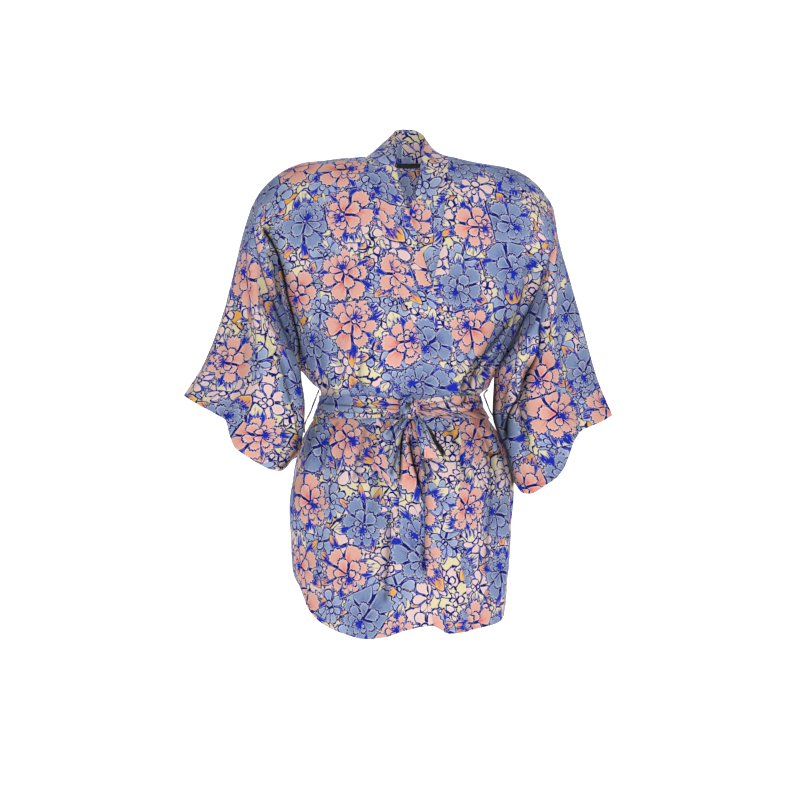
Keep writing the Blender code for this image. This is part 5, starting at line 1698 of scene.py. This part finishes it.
def print_colour(graph, place):
    """The whole print, from the cream ground up to the large peonies."""
    wobble = graph.noise(place, WOBBLE_SCALE, 2.0)["Color"]
    centred = graph.vector("SUBTRACT", wobble, (0.5, 0.5, 0.5))
    drawn = graph.vector("ADD", place, graph.scaled(centred, DRAWN_WOBBLE))

    curled = graph.vector("ADD", place, graph.scaled(centred, GROUND_WOBBLE))
    _, chances, border = scattered(graph, curled, GROUND_SPACING, GROUND_EVENNESS)
    tint = some(graph, chances[0], GROUND_PINK, CREAM, PINK)
    tint = some(graph, chances[0], GROUND_OCHRE, tint, OCHRE)
    result = graph.mix(graph.math("LESS_THAN", border, LINE), tint, INK)

    spot = motif(graph, drawn, BUDS)
    tint = some(graph, spot.seed, BUDS.blue, PINK, GREY_BLUE)
    result = flower(graph, result, spot, BUD_RINGS, tint, tint)

    spot = motif(graph, graph.vector("ADD", drawn, LOTUS_SHIFT), LOTUSES)
    foot = some(graph, spot.seed, LOTUSES.blue, PINK, GREY_BLUE)
    tip = some(graph, spot.seed, LOTUSES.blue, PINK, PALE_BLUE)
    smaller = spot._replace(size=graph.math("MULTIPLY", spot.size, LOTUS_LEAVES))
    result = flower(graph, leaves(graph, result, smaller), spot, LOTUS_RINGS, foot, tip)

    spot = motif(graph, drawn, PEONIES)
    foot = some(graph, spot.seed, PEONIES.blue, CORAL, DEEP_BLUE)
    tip = some(graph, spot.seed, PEONIES.blue, SALMON, GREY_BLUE)
    result = flower(graph, leaves(graph, result, spot), spot, PEONY_RINGS, foot, tip)
    offset = graph.joined(graph.math("MULTIPLY", spot.size, EYE_ASIDE), 0.0, 0.0)
    radius = graph.vector("LENGTH", graph.vector("SUBTRACT", spot.at, offset))
    reach = graph.math("MULTIPLY", spot.size, -EYE_RADIUS)
    eye = graph.math("ADD", radius, graph.math("MULTIPLY_ADD", spot.streak, EYE_STREAK, reach))
    return graph.mix(graph.math("LESS_THAN", eye, 0.0), result, COBALT)


# The cloth's look: how rough and how shiny it is, its grain and crinkle by scale and height, the
# turned hem by its two ends and height, and how strong the bump is.
CREPE_LOOK = {"Roughness": 0.62, "Sheen Weight": 0.02, "Sheen Roughness": 0.45, "Specular IOR Level": 0.06}
GRAIN = (900.0, 0.00010)
CRINKLE = (90.0, 0.0006)
TURNED_HEM = (0.0140, 0.0152)
TURNED_HEM_HEIGHT = 0.0005
CREPE_BUMP = 0.6
LABEL_LOOK = {"Roughness": 0.55}
LABEL_COLOURS = (colour(8, 8, 10), colour(24, 24, 28))
LABEL_WEAVE = 420.0
LABEL_BUMP = {"Strength": 0.3, "Distance": 0.0002}


def new_material(name, look):
    """A material and its shader node, which takes the values of look."""
    material = bpy.data.materials.new(name)
    material.use_nodes = True
    shader = material.node_tree.nodes["Principled BSDF"]
    for key, value in look.items():
        shader.inputs[key].default_value = value
    return material, shader


def crepe(name):
    """Printed crepe: the print darkened by painted shade, a matt sheen, a crinkled grain and the turned
    hem.
    """
    material, shader = new_material(name, CREPE_LOOK)
    graph = Graph(material)
    place = graph.node("ShaderNodeUVMap", uv_map="Cloth").outputs[0]
    hem = graph.split(graph.node("ShaderNodeUVMap", uv_map="Hem_and_shade").outputs[0])
    # Painted shade: the second coordinate of the hem map and each layer of dark lines darken the print
    # towards SHADOW.
    light = hem[1]
    for layer in range(LINE_LAYERS):
        line = graph.split(graph.node("ShaderNodeUVMap", uv_map=SHADE_LINE_MAP + str(layer)).outputs[0])
        squared = graph.math("MULTIPLY", line[0], line[0])
        near = graph.math("EXPONENT", graph.math("MULTIPLY", squared, -1.0))
        dark = graph.math("MULTIPLY", near, line[1])
        light = graph.math("MULTIPLY", light, graph.math("SUBTRACT", 1.0, dark))
    graph.give(shader.inputs["Base Color"], graph.mix(light, SHADOW, print_colour(graph, place)))
    grain = graph.math("MULTIPLY", graph.noise(place, GRAIN[0], 2.0)["Fac"], GRAIN[1])
    crinkle = graph.noise(place, CRINKLE[0], 2.0)["Fac"]
    turned_up = graph.smooth(hem[0], *TURNED_HEM, 1.0, 0.0)
    height = graph.math("MULTIPLY_ADD", crinkle, CRINKLE[1], grain)
    height = graph.math("MULTIPLY_ADD", turned_up, TURNED_HEM_HEIGHT, height)
    bump = graph.node("ShaderNodeBump", {"Height": height, "Strength": CREPE_BUMP, "Distance": 1.0})
    graph.give(shader.inputs["Normal"], bump.outputs[0])
    return material


def label_material():
    material, shader = new_material("Label_black", LABEL_LOOK)
    graph = Graph(material)
    place = graph.node("ShaderNodeUVMap", uv_map="Cloth").outputs[0]
    weave = graph.node("ShaderNodeTexWave", {"Vector": place, "Scale": LABEL_WEAVE}).outputs["Fac"]
    graph.give(shader.inputs["Base Color"], graph.mix(weave, *LABEL_COLOURS))
    bump = graph.node("ShaderNodeBump", {"Height": weave, **LABEL_BUMP})
    graph.give(shader.inputs["Normal"], bump.outputs[0])
    return material


# The room: a white sweep, soft light all round and the camera of the photograph.
FLOOR = -1.42
SWEEP_BACK = 2.2
SWEEP_RADIUS = 0.9
SWEEP_FRONT = -6.0
SWEEP_HALF = 5.0
SWEEP_HEIGHT = 5.0
SWEEP_STEPS = 24
CAMERA_PLACE = (-0.0036, -3.0, -0.4325)
CAMERA_LENS = 75.84
CAMERA_SENSOR = 36.0
WHITE_LIGHT = (1.0, 1.0, 1.0, 1.0)
PAPER_LOOK = {
    "Base Color": (0.92, 0.92, 0.92, 1.0),
    "Roughness": 0.9,
    "Emission Color": WHITE_LIGHT,
    "Emission Strength": 0.70,
}
WORLD_LIGHT = 0.38
LIGHTS = table(
    "name place aim size power",
    ("key", (2.1, -2.3, 1.0), (0.0, 0.0, -0.4), (0.9, 0.9), 15.0),
    ("front", (0.10, -3.2, -0.36), (0.0, 0.0, -0.3), (0.4, 0.4), 24.0),
    ("neck", (0.0, -0.02, -0.17), (0.0, 0.10, -0.06), (0.08, 0.04), 0.11),
    ("fill", (-2.1, -2.2, 0.4), (0.0, 0.0, -0.4), (1.2, 1.6), 4.0),
    ("top", (0.0, -0.3, 2.0), (0.0, 0.0, -0.4), (1.2, 1.2), 9.0),
)


def make_sweep():
    """A floor that curves up into a backdrop."""
    turn = np.linspace(0, np.pi / 2, SWEEP_STEPS)
    curve = SWEEP_BACK + SWEEP_RADIUS * np.sin(turn)
    y = np.concatenate([[SWEEP_FRONT], curve, [SWEEP_BACK + SWEEP_RADIUS]])
    z = np.concatenate([[FLOOR], FLOOR + SWEEP_RADIUS * (1 - np.cos(turn)), [FLOOR + SWEEP_HEIGHT]])
    points = []
    for side in (-SWEEP_HALF, SWEEP_HALF):
        points += [(side, a, b) for a, b in zip(y, z)]
    count = len(y)
    faces = [(i, i + 1, i + 1 + count, i + count) for i in range(count - 1)]
    mesh = bpy.data.meshes.new("sweep")
    mesh.from_pydata(points, [], faces)
    mesh.shade_smooth()
    material, _ = new_material("Paper_white", PAPER_LOOK)
    mesh.materials.append(material)
    new_object("sweep", mesh)


def make_light(row):
    data = bpy.data.lights.new(row.name, "AREA")
    data.shape = "RECTANGLE"
    data.size, data.size_y = row.size
    data.energy = row.power
    light = new_object(row.name, data)
    light.location = row.place
    direction = Vector(row.aim) - Vector(row.place)
    light.rotation_euler = direction.to_track_quat("-Z", "Y").to_euler()


def make_room():
    make_sweep()
    for light in LIGHTS:
        make_light(light)
    world = bpy.data.worlds.new("Studio")
    world.use_nodes = True
    back = world.node_tree.nodes["Background"]
    back.inputs["Color"].default_value = WHITE_LIGHT
    back.inputs["Strength"].default_value = WORLD_LIGHT
    bpy.context.scene.world = world
    view = bpy.context.scene.view_settings
    view.view_transform = "Standard"
    view.look = "None"


def make_camera():
    data = bpy.data.cameras.new("camera")
    data.lens = CAMERA_LENS
    data.sensor_width = CAMERA_SENSOR
    camera = new_object("camera", data)
    camera.location = CAMERA_PLACE
    camera.rotation_euler = (np.pi / 2, 0.0, 0.0)
    bpy.context.scene.camera = camera


def main():
    make_room()
    make_camera()
    cloth = crepe("Crepe_print_painted_shade")
    make_back(cloth)
    make_front("cloth_front_right", RIGHT, UPPER_EDGE, upper_lift, -0.10, 2, cloth)
    make_front("cloth_front_left", LEFT, LOWER_EDGE, no_lift, 0.12, 3, cloth)
    make_band("cloth_band_right", RIGHT, UPPER_EDGE, RIGHT_STAND, upper_lift, 11, cloth)
    make_band("cloth_band_left", LEFT, LOWER_EDGE, LEFT_STAND, no_lift, 12, cloth)
    make_sleeve("cloth_sleeve_right", RIGHT, RIGHT_SLEEVE, 21, cloth)
    make_sleeve("cloth_sleeve_left", LEFT, LEFT_SLEEVE, 22, cloth)
    make_belt(cloth)
    make_knot(cloth)
    make_ribbon("cloth_belt_loop", BOW_LOOP, LOOP_LAPS, 0.0, 41, cloth, LOOP_TURN)
    make_ribbon("cloth_belt_tail_short", SHORT_TAIL, SHORT_TAIL_LAPS, SHORT_TAIL_SLANT, 42, cloth)
    make_ribbon("cloth_belt_tail_long", LONG_TAIL, LONG_TAIL_LAPS, LONG_TAIL_SLANT, 43, cloth)
    make_carrier("cloth_carrier_right", RIGHT, cloth)
    make_carrier("cloth_carrier_left", LEFT, cloth)
    make_label(label_material())


main()
